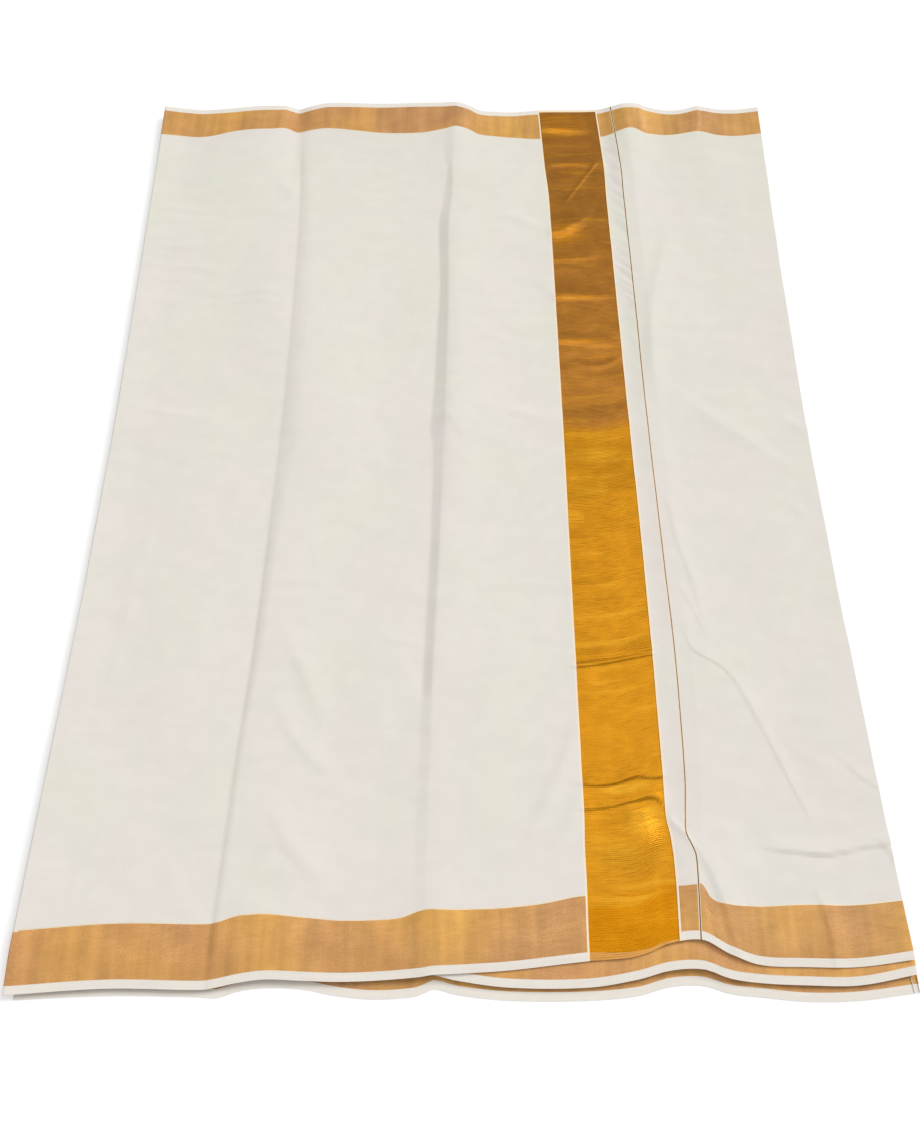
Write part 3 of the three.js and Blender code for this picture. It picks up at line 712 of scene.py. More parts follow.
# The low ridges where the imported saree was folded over: y, run, height, and the height's share at
# eight places from the left side to the right.
CROSS_RIDGES = [
    (350, 34, 0.7, (0.5, 0.1, 0.9, 0.5, 0.4, 0.8, 0.3, 0.6)),
    (655, 30, 1, (1, 0.5, 0.2, 0.6, 0.9, 0.9, 0.2, 0.4)),
    (797, 26, 0.5, (0.2, 0.7, 0.4, 0.2, 0.8, 0.4, 0.1, 0.5)),
    (950, 40, 0.8, (0.8, 0.9, 0.3, 0.3, 0.5, 0.8, 0.4, 0.2)),
]
CROSS_PLACES = np.linspace(-430, 430, 8)

# Soft swells: x, y, half width, half depth, height. The first is where the front edge is drawn in.
HUMPS = [
    (226, 118, 34, 60, 2.2), (272, 116, 34, 64, 1.6), (276, 850, 64, 170, 2.4), (318, 640, 80, 90, 1.8),
    (290, 330, 55, 120, 1.5), (-300, 1100, 90, 110, 1.8), (-240, 880, 76, 230, 2.4),
    (-390, 960, 50, 70, 1.2), (-350, 600, 90, 90, 1.2), (-400, 240, 60, 150, 1.4), (-310, 330, 60, 120, 1),
    (-130, 980, 80, 120, 1.4), (-150, 620, 70, 110, 1.2), (-90, 320, 60, 90, 1.3), (-170, 130, 50, 60, 1.2),
    (60, 1040, 70, 90, 1.4), (50, 830, 60, 80, 1), (80, 560, 60, 90, 1.1), (40, 300, 70, 90, 1.2),
    (380, 1060, 70, 90, 1.3), (360, 450, 70, 80, 1.2), (390, 250, 50, 70, 1.1), (150, 800, 50, 90, 0.8),
    (160, 500, 46, 80, 0.8), (165, 90, 40, 50, 1), (172, 146, 42, 44, 4.4),
]

# Slow unevenness everywhere, from the way a big cloth lies: spot width, spot depth, height.
UNEVENNESS = [(120, 150, 0.9), (60, 40, 0.55), (36, 15, 0.3), (15, 22, 0.12)]
LAST_SPOT = 1.001  # keeps every place short of the last spot's far side

# The strip between band and line is drawn into fine slanted wrinkles: from, to, full from, full to,
# width and depth of each, slant, height.
STRIP_WRINKLES = (700, 1200, 900, 1120, 22, 6.4, 1.0, 0.75)
STRIP_HALF = 9  # half of the strip's width
STRIP_SPREAD = 1.6  # halves that the wrinkles reach from its middle, dying out over the last
STRIP_PLACE = 200  # where the slant leaves them as they are
STRIP_SEED = 7

# The creases: run down on the left and on the right of the way they go, then x, y and height along
# them. A point without a height is at 0, where the crease begins or runs out.
CREASES = [
    # the sharp bend across the outer end, from the thin line to the front right
    (16, 3.2, [
        (243, 388), (253, 355, 0.8), (268, 344, 0.9), (283, 334, 0.8), (297, 315, 0.9), (320, 261, 1),
        (340, 208, 0.9), (355, 168, 0.3), (358, 160),
    ]),
    # the fold above the front border at the right, and the short one that hooks down beside it
    (20, 2.4, [
        (296, 142), (318, 139, 1.8), (340, 137, 2.6), (363, 135, 3), (384, 138, 2.8), (408, 143, 2.5),
        (430, 146, 2.2), (440, 147, 1.8),
    ]),
    (10, 4, [(422, 147, 0.6), (430, 137, 1.4), (435, 120, 0.8), (438, 112)]),
    # the kink through the front border
    (16, 5, [(347, 104), (350, 98, 0.5), (354, 84, 1.1), (357, 60, 1.3), (358, 26, 1)]),
    # soft bends beside the thin line
    (16, 6, [(240, 560), (246, 520, 0.7), (250, 488, 0.9), (262, 440, 0.8), (268, 400, 0.6), (276, 376)]),
    (12, 5, [(242, 440), (256, 412, 0.6), (266, 385, 0.7), (274, 366)]),
    (30, 15, [
        (284, 985), (272, 930, 1.2), (257, 875, 1.6), (247, 815, 1.8), (242, 745, 1.6), (243, 700, 0.6),
        (246, 680),
    ]),
    (18, 26, [(258, 712), (282, 686, 1), (307, 661, 1.3), (347, 628, 1.2), (387, 595, 0.6), (410, 580)]),
    (14, 20, [(270, 960), (296, 978, 0.9), (330, 985, 0.8), (352, 984)]),
    (10, 12, [(292, 868), (330, 876, 0.9), (372, 892, 1.1), (408, 905, 0.4), (424, 912)]),
    (8, 10, [(398, 842), (414, 846, 0.6), (432, 850, 0.3), (438, 852)]),
    (12, 14, [(382, 672), (404, 654, 0.7), (420, 640, 0.5), (434, 632)]),
    (10, 12, [(380, 545), (396, 532, 0.6), (404, 520)]),
    (11, 14, [(330, 268), (352, 243, 0.5), (388, 222, 0.4), (428, 203)]),
    (12, 5, [(388, 240), (402, 226, 0.7), (414, 214, 0.9), (430, 202, 0.6), (436, 196)]),
    # the pull from the humped front edge
    (26, 9, [(234, 146), (241, 132, 1.2), (250, 112, 1.8), (256, 92, 2), (261, 66, 1.8), (266, 36, 0.8)]),
    (4, 8, [(209, 174, 0.4), (216, 166, 1.1), (226, 155, 1.2), (232, 146, 0.6), (236, 138)]),
    # the middle panels
    (24, 14, [(-206, 392), (-184, 352, 1.1), (-166, 316, 1.3), (-152, 282, 0.8), (-146, 262)]),
    (26, 9, [(-204, 300), (-184, 264, 1.1), (-162, 236, 1.3), (-142, 220, 0.7), (-132, 214)]),
    (26, 12, [(-206, 200), (-190, 168, 0.9), (-166, 134, 1.1), (-136, 108, 0.6), (-124, 98)]),
    (10, 26, [(56, 140), (76, 168, 1.2), (98, 214, 1.8), (116, 256, 1.4), (122, 280, 0.5), (126, 300)]),
    (12, 22, [(86, 128), (106, 160, 1.1), (119, 192, 1.4), (126, 214)]),
    (14, 14, [(96, 882), (112, 868, 0.8), (124, 854)]),
    (14, 10, [(-26, 664), (-18, 660, 0.7), (-6, 648, 0.7), (2, 632, 0.4), (4, 622)]),
    (10, 10, [(-104, 374), (-80, 368, 0.8), (-48, 362, 0.6), (-36, 360)]),
    (8, 8, [(-210, 440), (-190, 436, 0.8), (-168, 437, 0.5), (-150, 434)]),
    (8, 8, [(20, 436), (56, 432, 0.6), (84, 436, 0.8), (112, 430, 0.3), (120, 430)]),
    (12, 12, [(-20, 790), (24, 786, 0.6), (80, 774, 0.6), (118, 766)]),
    (16, 12, [(20, 676), (52, 672, 1.1), (90, 662, 1.3), (118, 668, 0.8), (124, 670)]),
    (14, 16, [(40, 1002), (72, 992, 1.1), (104, 976, 1), (120, 972)]),
    # the left panel
    (7, 9, [
        (-362, 512), (-364, 490, 0.6), (-368, 450, 0.5), (-375, 405, 0.5), (-378, 350, 0.4), (-380, 300),
    ]),
    (12, 8, [(-436, 1010), (-404, 1008, 1.1), (-366, 1003, 0.8), (-340, 1000)]),
    (10, 8, [(-400, 992), (-370, 984, 0.8), (-344, 986, 0.5), (-330, 988)]),
    (10, 9, [(-412, 940), (-386, 936, 0.9), (-352, 944, 1.1), (-318, 962, 0.4), (-306, 970)]),
    (12, 8, [(-430, 906), (-396, 904, 0.8), (-340, 900, 0.7), (-316, 896)]),
    (9, 7, [(-424, 886), (-380, 880, 0.7), (-352, 882, 0.5), (-336, 880)]),
    (12, 10, [(-352, 868), (-318, 856, 0.8), (-286, 858, 0.9), (-256, 862, 0.7), (-238, 858)]),
    (9, 7, [(-330, 838), (-300, 842, 0.7), (-262, 846, 0.8), (-240, 840)]),
    (13, 8, [(-424, 676), (-384, 672, 0.9), (-348, 664, 0.9), (-300, 660)]),
    (9, 9, [(-400, 640), (-372, 650, 0.8), (-346, 664, 0.8), (-326, 672)]),
    (24, 16, [(-268, 1070), (-252, 1052, 1), (-238, 1034, 0.8), (-230, 1016)]),
    # the band's own folds, the ones in front standing up sharply
    (22, 3, [
        (112, 206), (124, 206, 1.2), (141, 205.5, 1.3), (156, 207, 1.5), (175, 213, 1.6), (183, 215, 1.6),
        (192, 213, 1.5), (206, 214, 1.2), (214, 214),
    ]),
    (19, 3, [
        (112, 180), (124, 180, 1), (150, 183, 1.3), (176, 189, 1.7), (194, 193, 1.9), (203, 189, 1.6),
        (209, 176, 0.9), (212, 166, 0.6), (213, 150),
    ]),
    (16, 3, [(112, 344), (124, 344, 0.7), (150, 347, 0.9), (176, 350, 1.2), (206, 355, 1.3), (216, 356)]),
    (9, 3.4, [(112, 335), (124, 335, 1.2), (150, 338, 1.5), (176, 343, 1.5), (206, 349, 1.2), (216, 350)]),
    (14, 2.6, [(114, 430), (124, 430, 0.7), (150, 430, 0.8), (160, 432, 0.7), (176, 435, 0.5), (208, 437)]),
    (9, 4, [(112, 490), (124, 490, 0.5), (142, 490, 0.4), (156, 492)]),
    (12, 6, [(170, 553), (184, 554, 0.5), (204, 556, 0.5), (212, 556)]),
    (7, 10, [(140, 752), (152, 742, 0.6), (176, 740, 0.7), (198, 752, 0.5), (206, 760)]),
    (22, 6, [(118, 778), (128, 778, 0.9), (150, 776, 1), (182, 774, 0.8), (204, 776)]),
    (26, 9, [(116, 850), (124, 851, 1.4), (148, 852, 1.5), (184, 852, 1.1), (204, 854)]),
    (20, 7, [(116, 914), (126, 914, 0.9), (150, 916, 0.9), (172, 920, 0.5), (184, 922)]),
    (30, 18, [(114, 964), (124, 964, 2.4), (140, 970, 3), (158, 982, 2.4), (172, 992, 0.9), (180, 998)]),
    (18, 6, [
        (116, 1090), (128, 1092, 0.9), (150, 1094, 1.1), (180, 1092, 1.1), (198, 1092, 0.8), (206, 1092),
    ]),
    (3, 5, [(196, 1102), (188, 1090, 0.9), (170, 1062, 0.8), (152, 1034, 0.7), (140, 1012)]),
    (34, 13, [
        (108, 1164), (120, 1164, 1.8), (140, 1162, 2.4), (162, 1160, 2), (184, 1160, 0.8), (196, 1160),
    ]),
    # where the back edge was folded: the gold of the border turns to the light
    (7, 22, [(255, 1230, 1.4), (260, 1200, 1.4), (262, 1170, 1), (256, 1140)]),
    (5, 14, [(348, 1230, 1.2), (346, 1200, 1.2), (344, 1170, 0.9), (338, 1144)]),
    (12, 5, [(-266, 1140), (-262, 1166, 1), (-258, 1190, 1.2), (-256, 1225, 1.2)]),
    (4, 4, [(84, 1150), (86, 1170, 0.6), (87, 1200, 0.6)]),
]
CREASE_STEPS = 4  # on the smooth path, for each point of a row


def line_at(name, y):
    return side_at(name, y) if name in SIDES else lines[name](y)


def swell(t):
    """A rounded top that runs out at 1."""
    return (1 - np.clip(t, 0, 1) ** 2) ** 2


def from_valley(off, run):
    """Steep at the valley's bottom, level at the end of its run, and then slowly back down."""
    t = np.clip(off / run, 0, 1)
    return t * (2 - t) * (1 - eased((off - run) / VALLEY_FADE))


def uneven(x, y, width, depth, seed):
    """Smooth random height about 0, in spots of that size."""
    rows, columns = int(STACK_DEPTH / depth) + 3, int(2 * SIDES["right"][0] / width) + 3
    heights = np.random.default_rng(seed).uniform(-1, 1, (rows, columns))
    across = np.clip((x - SIDES["left"][0]) / width, 0, columns - LAST_SPOT)
    deep = np.clip(y / depth, 0, rows - LAST_SPOT)
    i, j = deep.astype(int), across.astype(int)
    u, v = eased(across - j), eased(deep - i)
    near = heights[i, j] + u * (heights[i, j + 1] - heights[i, j])
    far = heights[i + 1, j] + u * (heights[i + 1, j + 1] - heights[i + 1, j])
    return near + v * (far - near)


def crease_height(x, y, left_run, right_run, path):
    """How high a crease stands, as a sharp crest that follows a smooth path."""
    path = np.array([(*point, 0)[:3] for point in path], float)
    length = np.concatenate([[0], np.cumsum(np.hypot(*np.diff(path[:, :2], axis=0).T))])
    finely = np.linspace(0, length[-1], CREASE_STEPS * len(path))
    px, py, high = (curve(np.stack([length, column], -1))(finely) for column in path.T)
    reach = max(left_run, right_run)
    near = (x > px.min() - reach) & (x < px.max() + reach) & (y > py.min() - reach) & (y < py.max() + reach)
    crease = np.zeros(x.shape)
    x, y = x[near], y[near]
    nearest = np.full(x.shape, np.inf)
    stands = np.zeros(x.shape)
    for i in range(len(finely) - 1):
        dx, dy = px[i + 1] - px[i], py[i + 1] - py[i]
        t = np.clip(((x - px[i]) * dx + (y - py[i]) * dy) / (dx * dx + dy * dy), 0, 1)
        off_x, off_y = x - px[i] - t * dx, y - py[i] - t * dy
        off = np.hypot(off_x, off_y)
        run = np.where(dx * off_y - dy * off_x > 0, left_run, right_run)
        closer = off < nearest
        nearest = np.where(closer, off, nearest)
        stands = np.where(closer, (high[i] + t * (high[i + 1] - high[i])) * run_down(off, run), stands)
    crease[near] = np.maximum(stands, 0)
    return crease


def top_height(x, y):
    """The middle of the top stretch's cloth."""
    height = np.full(x.shape, middle_of(1))
    depth = y / STACK_DEPTH
    for line, crest, left_run, right_run, front, middle, back in LONG_FOLDS:
        off = x - line_at(line, y) - crest
        stands = middle + (np.where(depth < 0.5, front, back) - middle) * np.abs(2 * depth - 1)
        height = height + stands * run_down(off, np.where(off < 0, left_run, right_run))
    left_rise, right_rise, right_run = (read(y) for read in valley_fold)
    off = x - line_at("valley", y)
    height = height + left_rise * from_valley(-off, VALLEY_LEFT_RUN)
    height = height + right_rise * from_valley(off, right_run)
    steep_width, steep_rise, stands, shoulder = (read(y) for read in standing_fold)
    off = x - line_at("ridge", y)
    steep = 1 + off / steep_width
    steep = np.minimum((steep + np.sqrt(steep * steep + STANDING_FOOT)) / 2, 1)
    left_side = steep_rise * steep + (stands - steep_rise) * run_down(off, STANDING_LEFT_RUN)
    past_crest = np.clip(off / STANDING_SHOULDER, 0, SHOULDER_END)
    right_side = stands * run_down(off, STANDING_RUN) + shoulder * past_crest * np.exp(1 - past_crest)
    height = height + np.where(off < 0, left_side, right_side)
    for place, run, stands, shares in CROSS_RIDGES:
        share = curve(list(zip(CROSS_PLACES, shares)))(x)
        height = height + stands * share * swell(np.abs(y - place) / run)
    for hump_x, hump_y, half_width, half_depth, stands in HUMPS:
        height = height + stands * swell(np.hypot((x - hump_x) / half_width, (y - hump_y) / half_depth))
    for seed, (width, depth, stands) in enumerate(UNEVENNESS):
        height = height + stands * uneven(x, y, width, depth, seed)
    starts, ends, full_from, full_to, width, depth, slant, stands = STRIP_WRINKLES
    share = np.interp(y, [starts, full_from, full_to, ends], [0, 1, 1, 0])
    from_strip = np.abs(x - line_at("line", y) + STRIP_HALF) / STRIP_HALF
    share = share * np.clip(STRIP_SPREAD - from_strip, 0, 1)
    slanted = y + slant * (x - STRIP_PLACE)
    height = height + stands * share * uneven(x, slanted, width, depth, STRIP_SEED)
    for left_run, right_run, path in CREASES:
        height = height + crease_height(x, y, left_run, right_run, path)
    from_front = np.maximum(y - top_front(x), 0)
    from_back = np.maximum(top_back(x) - y, 0)
    height = height + np.maximum(front_lift(x), 0) * run_down(from_front, FRONT_LIFT_REACH)
    return height + np.maximum(back_lift(x), 0) * run_down(from_back, BACK_LIFT_REACH)


# The columns of the top stretch follow its lines: line, offset from it, step from there to the next.
TOP_COLUMNS = [
    ("left", TURN_SEAM, 4.6), ("left", 46, 5.2), ("valley", -80, 5.2), ("valley", -14, 2.8),
    ("valley", 0, 2), ("valley", 14, 3.2), ("valley", 30, 5.2), ("ridge", -60, 4.6), ("ridge", -22, 2),
    ("ridge", 0, 2.6), ("ridge", 12, 4.6), ("ridge", 62, 5), ("band_left", 0, 3), ("band_right", 0, 2.4),
    ("line", -LINE_WIDTH / 2, 0.6), ("line", LINE_WIDTH / 2, 2.4), ("line", 17, 2.4), ("line", 45, 2.4),
    ("line", 75, 2.4), ("right", -34, 2.8), ("right", -3, 1),
]

# Its rows lie closer where the band's front folds and the standing fold's step need them.
TOP_ROWS = spaced(
    [*ZONE_EDGES[:3], 118, 192, 296, 332, *ZONE_EDGES[3:]],
    [2.4, 2.8, 2.8, 1.8, 3.2, 1.3, 3.3, 2.8, 2.4],
)
SHEET_ROUNDS = 5  # in which the columns and the rows of the sheet come to fit each other


def wander_share(from_edge):
    """Nothing at the selvedge, all of it at the border's inner edge, and gone again in the field."""
    return np.interp(from_edge, [SELVEDGE, FIELD_EDGE, FIELD_EDGE + WANDER_REACH], [0, 1, 0])


def top_sheet():
    """Every place of the top stretch, and the column at which each line lies."""
    rows = TOP_ROWS[:, None]
    counts = []
    for (name, off, step), (next_name, next_off, _) in zip(TOP_COLUMNS, TOP_COLUMNS[1:]):
        span = line_at(next_name, 0) + next_off - line_at(name, 0) - off
        counts.append(max(round(span / step), 1))
    starts = np.concatenate([[0], np.cumsum(counts)])
    y = np.repeat(rows, starts[-1] + 1, axis=1)
    for _ in range(SHEET_ROUNDS):
        columns = [line_at(name, y[:, at]) + off for (name, off, _), at in zip(TOP_COLUMNS, starts)]
        spans = [np.linspace(a, b, n + 1, axis=1)[:, 1:] for a, b, n in zip(columns, columns[1:], counts)]
        x = np.concatenate([columns[0][:, None], *spans], axis=1)
        y = across_to_y(rows, top_front(x), top_back(x))
        y = y + front_wander(x) * wander_share(rows) + back_wander(x) * wander_share(STACK_DEPTH - rows)
    sheet = settled(np.stack([x, y, top_height(x, y)], -1))
    return sheet, dict(zip([row[:2] for row in TOP_COLUMNS], starts))


top, top_column = top_sheet()
top_facing = facing(top)


def top_part(first, last):
    """The places of the top stretch between two of its columns, and the way that they face."""
    columns = slice(top_column[first], top_column[last] + 1)
    return top[:, columns], top_facing[:, columns]


# The spans: name, first and last column, and length along the cloth in metres.
SPANS = [
    ("body", TOP_COLUMNS[0][:2], ("band_left", 0), 0.554),
    ("strip", ("band_right", 0), ("line", -LINE_WIDTH / 2), 0.02),
    ("end", ("line", LINE_WIDTH / 2), ("right", -3), 0.203),
]
for span, first, last, length in SPANS:
    middle, normal = top_part(first, last)
    add_zones(span, TOP_ROWS, middle, normal, middle[..., 0])


# ------------------------------------------------------------
# The gold band. Gold thread is packed right across the cloth for a hand's width, over a cotton warp that
# shows as fine ribs. It is bright metal on the field, deeper over the front border, and pale at its end.
BAND_WIDTH = 88
BAND_LINE = 1.9  # a cream line down each side of it
BAND_BACK_END = 4  # of cream thread, along its back edge
BAND_FOLD = 624  # past this fold the band is painted darker, a painted shade where its gold mirrors less light
BAND_FOLD_SLANT = 0.14  # by which the fold runs towards the back across the band
BAND_FOLD_WANDER = 0.02  # in metres
BAND_FOLD_BLEND = (-0.008, 0.01)  # from so many metres before the fold to so many past it
BAND_LIT_GOLD = (0.508, 0.207, 0.007, 1)
BAND_SHADED_BACK = (0.445, 0.178, 0.029, 1)
BAND_DEEP = (0.497, 0.182, 0.0, 1)
BAND_PALE = (0.55, 0.265, 0.07, 1)
# The colour of the band's painted highlights: gloss streaks, glints and bright spots.
BAND_HIGHLIGHT = (0.67, 0.335, 0.02, 1)
BAND_CREAM = (0.89, 0.74, 0.54, 1)
# The colour of the painted highlight spots past the fold.
BAND_BACK_HIGHLIGHT = (0.72, 0.28, 0.016, 1)
BAND_SHADE = (0.26, 0.12, 0.025, 1)  # of the last gold threads at its right side
BAND_SHADE_LINE = 1.1
BAND_SHADED = 0.7
BAND_PALE_NARROWS = 0.8  # the share of the pale end's depth that is gone at the right
BAND_GLOSS_STREAKS = (0.1, 0.34)  # between which the noise turns to painted highlight streaks
BAND_GLOSS_SHARE = 0.45
BAND_GLITTERS = 0.3
BAND_METAL = 0.62

# Painted highlights, spots where the gold catches the light: x from its left side, place across, half width,
# half depth, share. Each is full over a fifth of that, and all are patchy.
PAINTED_HIGHLIGHT_SPOTS = [
    (28, 1178, 62, 34, 0.9), (44, 1097, 60, 4, 0.8), (18, 961, 44, 34, 0.8), (24, 911, 54, 5, 0.6),
    (30, 846, 62, 9, 0.7), (30, 769, 58, 8, 0.7), (58, 742, 36, 4, 0.5), (62, 128, 38, 30, 0.65),
    (50, 166, 44, 8, 0.8), (26, 100, 60, 26, 0.45), (32, 51, 62, 9, 0.7), (44, 334, 64, 6, 0.6),
    (8, 500, 18, 16, 0.6), (36, 590, 48, 14, 0.6),
]
HIGHLIGHT_FULL = 0.2
HIGHLIGHT_PATCHES = (-0.16, 0.16, 0.3)  # the noise's bounds, and the least share
band_gold, surface, place = new_material("Band gold")
thread = use_group(gold_thread, Place=place, Rib=0.0021, Shine=0.17, Bars=0.14, Grain=0.9)
along, across = parts_of(place)
shaded_past_fold = math_node("SUBTRACT", across, BAND_FOLD * MM)
shaded_past_fold = times_plus(noise(place, along=0.03, across=0.4), BAND_FOLD_WANDER, shaded_past_fold)
shaded_past_fold = ranged(times_plus(along, -BAND_FOLD_SLANT, shaded_past_fold), *BAND_FOLD_BLEND)
gloss_streaks = ranged(noise(place, along=0.09, across=0.011), *BAND_GLOSS_STREAKS)
# Painted light and shade: lit gold before the fold, shaded brown past it.
gold = mixed(shaded_past_fold, BAND_LIT_GOLD, BAND_SHADED_BACK)
# Painted highlights: long glossy streaks across the band.
gold = mixed(times(gloss_streaks, BAND_GLOSS_SHARE), gold, BAND_HIGHLIGHT)
gold = mixed(math_node("LESS_THAN", across, FIELD_EDGE * MM), gold, BAND_DEEP)
highlight_share = 0.0
for x, y, half_width, half_depth, share in PAINTED_HIGHLIGHT_SPOTS:
    off = add_node("VectorMath", {0: place, 1: (x * MM, y * MM, 0)}, operation="SUBTRACT")[0]
    off = scaled(off, half_width * MM, half_depth * MM)
    away = add_node("VectorMath", {0: off}, operation="LENGTH")["Value"]
    spot = ranged(away, HIGHLIGHT_FULL, 1.0, share, 0.0, interpolation_type="SMOOTHSTEP")
    highlight_share = math_node("MAXIMUM", highlight_share, spot)
highlight_share = times(highlight_share, ranged(noise(place, along=0.05, across=0.0045, detail=2.0), *HIGHLIGHT_PATCHES))
# The spots are painted highlights, in bright gold before the fold and orange past it.
gold = mixed(highlight_share, gold, mixed(shaded_past_fold, BAND_HIGHLIGHT, BAND_BACK_HIGHLIGHT))
pale_depth = times_plus(along, -BAND_PALE_NARROWS * SELVEDGE / BAND_WIDTH, SELVEDGE * MM)
gold = mixed(math_node("LESS_THAN", across, pale_depth), gold, BAND_PALE)
at_right = math_node("GREATER_THAN", along, (BAND_WIDTH - BAND_LINE - BAND_SHADE_LINE) * MM)
gold = mixed(times(at_right, BAND_SHADED), gold, BAND_SHADE)
# Painted glints: grains of the gold thread mixed to the highlight colour.
gold = mixed(times(thread["Glitter"], BAND_GLITTERS), gold, BAND_HIGHLIGHT)
from_side = math_node("MINIMUM", along, math_node("SUBTRACT", BAND_WIDTH * MM, along))
side_line = math_node("LESS_THAN", from_side, BAND_LINE * MM)
at_back = math_node("GREATER_THAN", across, (STACK_DEPTH - BAND_BACK_END) * MM)
cotton_thread = math_node("MAXIMUM", side_line, at_back)
fill_in(surface, {
    "Base Color": mixed(cotton_thread, toned(gold, thread["Tone"]), BAND_CREAM),
    "Normal": bumped(thread["Height"], distance=0.00007),
    "Metallic": times_plus(cotton_thread, -BAND_METAL, BAND_METAL),
    "Roughness": 0.28,
    "Specular IOR Level": 0.1,
})


def add_band(node, first, last, width, material, slot):
    """A part of the top stretch that has one weave from front to back."""
    middle, normal = top_part(first, last)
    along = np.linspace(0, width, middle.shape[1])
    return add_piece(node, material, slot, middle, normal, along, TOP_ROWS[:, None])


band = add_band("pallu_band", ("band_left", 0), ("band_right", 0), BAND_WIDTH, band_gold, "band_gold")


# ------------------------------------------------------------
# The thin line. A few dark threads are woven across the cloth beside the band, over gold and cotton
# alike, with one cream thread on each side where they cross the borders.
LINE_BROWN = (0.22, 0.12, 0.05, 1)
LINE_DARK = (0.075, 0.05, 0.035, 1)  # of its back half and its front end, which are darker
LINE_TAN = (0.50, 0.33, 0.16, 1)
LINE_CREAM = (0.84, 0.69, 0.50, 1)
LINE_DARKENED = 0.85
LINE_BACK_HALF = (0.56, 0.96)  # over which it darkens, in metres from the front
LINE_FRONT_END = (0.12, 0.09)
DARK_FROM, DARK_TO = 0.75, 1.95
line_thread, surface, place = new_material("Line thread")
thread = use_group(gold_thread, Place=place, Rib=0.0012, Shine=0.05, Bars=0.2, Grain=0.8)
along, across = parts_of(place)
back_half = ranged(across, *LINE_BACK_HALF, 0.0, LINE_DARKENED)
front_end = ranged(across, *LINE_FRONT_END, 0.0, LINE_DARKENED)
# Painted glints of the gold thread show in tan.
gold = mixed(thread["Glitter"], LINE_BROWN, LINE_TAN)
gold = mixed(math_node("MAXIMUM", back_half, front_end), gold, LINE_DARK)
from_middle = distance_from(along, (DARK_FROM + DARK_TO) / 2 * MM)
dark = math_node("LESS_THAN", from_middle, (DARK_TO - DARK_FROM) / 2 * MM)
fill_in(surface, {
    "Base Color": mixed(dark, LINE_CREAM, toned(gold, thread["Tone"])),
    "Normal": bumped(thread["Height"], distance=0.00004),
    "Roughness": 0.6,
})
line_sides = [("line", -LINE_WIDTH / 2), ("line", LINE_WIDTH / 2)]
line = add_band("pallu_line", *line_sides, LINE_WIDTH, line_thread, "line_thread")


# ------------------------------------------------------------
# The second stretch. It shows along the front, where the top one is drawn back. A soft turn at the left
# brings it down from the top stretch, and one at the right takes it on to the layers below.
SECOND_INSET = 2  # of its turn at the right
TURN_TOP = 2.0  # from the left side, where the height of the turn's top is read
BRIDGE_STEPS = 3  # from the top stretch's edge to the turn
LIFT_SHARE = 0.4  # of the top stretch's lift, which the second one shares
LIFT_REACH = 90


def second_path(across):
    left = side_at("left", across)
    y = across_to_y(across, top_front(left), top_back(left))
    seam_x = side_at("left", y) + TURN_SEAM
    seam_z, turn_top = top_height(np.array([seam_x, left + TURN_TOP]), np.array([y, y]))
    turn = turn_path("left", across, inset=0, level=1, top=float(turn_top))
    last_turn = turn_path("right", across, SECOND_INSET, level=2)
    bridge = np.linspace([seam_x, float(seam_z), 1], [turn[0][0], turn[1][0], 1], BRIDGE_STEPS + 1)[:-1].T
    return joined(bridge, turn, level_run(2, turn[0][-1], last_turn[0][0], STATIONS[1:-1]), last_turn)


def second_edges(x, level):
    top_share = np.clip(2 - level, 0, 1)
    return (
        second_front(x) + top_share * (top_front(x) - second_front(x)),
        second_back(x) + top_share * (top_back(x) - second_back(x)),
    )


middle, along = laid_path(LAYER_ROWS, second_path, second_edges)
second_level = np.abs(middle[..., 2] - middle_of(2)) < SAME
lift = LIFT_SHARE * np.maximum(front_lift(middle[..., 0]), 0)
from_edge = np.maximum(middle[..., 1] - second_front(middle[..., 0]), 0)
middle[..., 2] += np.where(second_level, lift * run_down(from_edge, LIFT_REACH), 0)
add_stretch("second", middle, middle[:, :1, 0] - along)


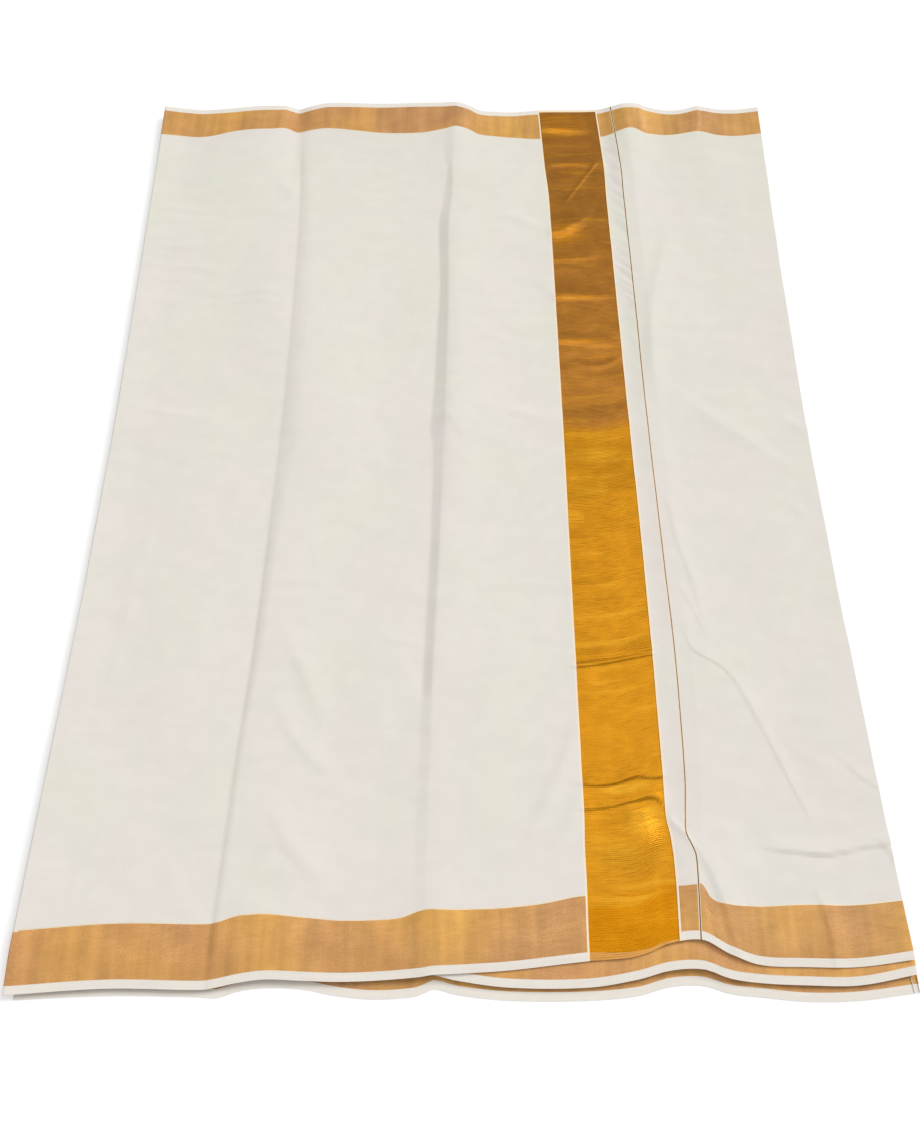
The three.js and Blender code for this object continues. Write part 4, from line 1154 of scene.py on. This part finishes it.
# ------------------------------------------------------------
# The table, the light and the camera: a white table lit softly from below, an even sky, a soft key from
# the back right that rakes the folds, a big soft box overhead that lights up the front half of the gold
# band, and a card at the front left that fills the shade under the edges.
TABLE_HALF = 12
TABLE_TOP = -0.0003
floor_mesh = bpy.data.meshes.new("floor")
corners = [(x * TABLE_HALF, y * TABLE_HALF, 0) for x, y in ((-1, -1), (1, -1), (1, 1), (-1, 1))]
floor_mesh.from_pydata(corners, [], [(0, 1, 2, 3)])
floor = add_object("floor", floor_mesh)
floor.location.z = TABLE_TOP
floor_white = bpy.data.materials.new("Table white")
floor_white.use_nodes = True
fill_in(floor_white.node_tree.nodes["Principled BSDF"], {
    "Base Color": (0.66, 0.66, 0.66, 1),
    "Emission Color": (1, 1, 1, 1),
    "Emission Strength": 0.36,
    "Roughness": 0.9,
    "Specular IOR Level": 0.1,
})
floor_mesh.materials.append(floor_white)

world = bpy.data.worlds.new("Even sky")
world.use_nodes = True
fill_in(world.node_tree.nodes["Background"], {"Color": (1, 1, 1, 1), "Strength": 0.305})
bpy.context.scene.world = world


def add_light(name, kind, place, aim, energy):
    """A light at a place, aimed at another, both in metres."""
    light = add_object(name, bpy.data.lights.new(name, kind))
    light.data.energy = energy
    light.location = place
    x, y, z = np.array(place) - np.array(aim)
    light.rotation_euler = (math.atan2(math.hypot(x, y), z), 0, math.atan2(x, -y))
    return light


key = add_light("Key", "SUN", place=(2.38, 1.7, 2.5), aim=(0, 0, 0), energy=1.98)
key.data.angle = math.radians(26)

# The soft box ends where the band at that depth mirrors it to eyes at that height and distance.
BOX_SIZE = 4
BOX_HEIGHT = 4
BOX_FRONT = -1.5
LIT_DEPTH = 0.64
EYE_HEIGHT = 1.031
EYE_DISTANCE = 0.683
box_back = cad_box[0].y + LIT_DEPTH + EYE_DISTANCE * BOX_HEIGHT / EYE_HEIGHT
box_middle = (BOX_FRONT + box_back) / 2
box_place = (0, box_middle, BOX_HEIGHT)
soft_box = add_light("Soft box", "AREA", place=box_place, aim=(0, box_middle, 0), energy=67)
soft_box.data.shape = "RECTANGLE"
soft_box.data.size = BOX_SIZE
soft_box.data.size_y = box_back - BOX_FRONT
fill = add_light("Fill card", "AREA", place=(-0.7, -2.9, 0.8), aim=(0, 0, 0), energy=16)
fill.data.size = 2.4

CAMERA_SHIFT = -0.00134
CAMERA_SETBACK = 0.04336  # from the front of the stack
CAMERA_HEIGHT = 1.041
CAMERA_TILT = 63.808  # degrees down from level
camera = add_object("Camera", bpy.data.cameras.new("Camera"))
camera.data.sensor_width = 36
camera.data.lens = 32.11
camera.location = (CAMERA_SHIFT, cad_box[0].y - CAMERA_SETBACK, CAMERA_HEIGHT)
camera.rotation_euler = (math.radians(90 - CAMERA_TILT), 0, 0)
bpy.context.scene.camera = camera
bpy.context.scene.view_settings.view_transform = "Standard"
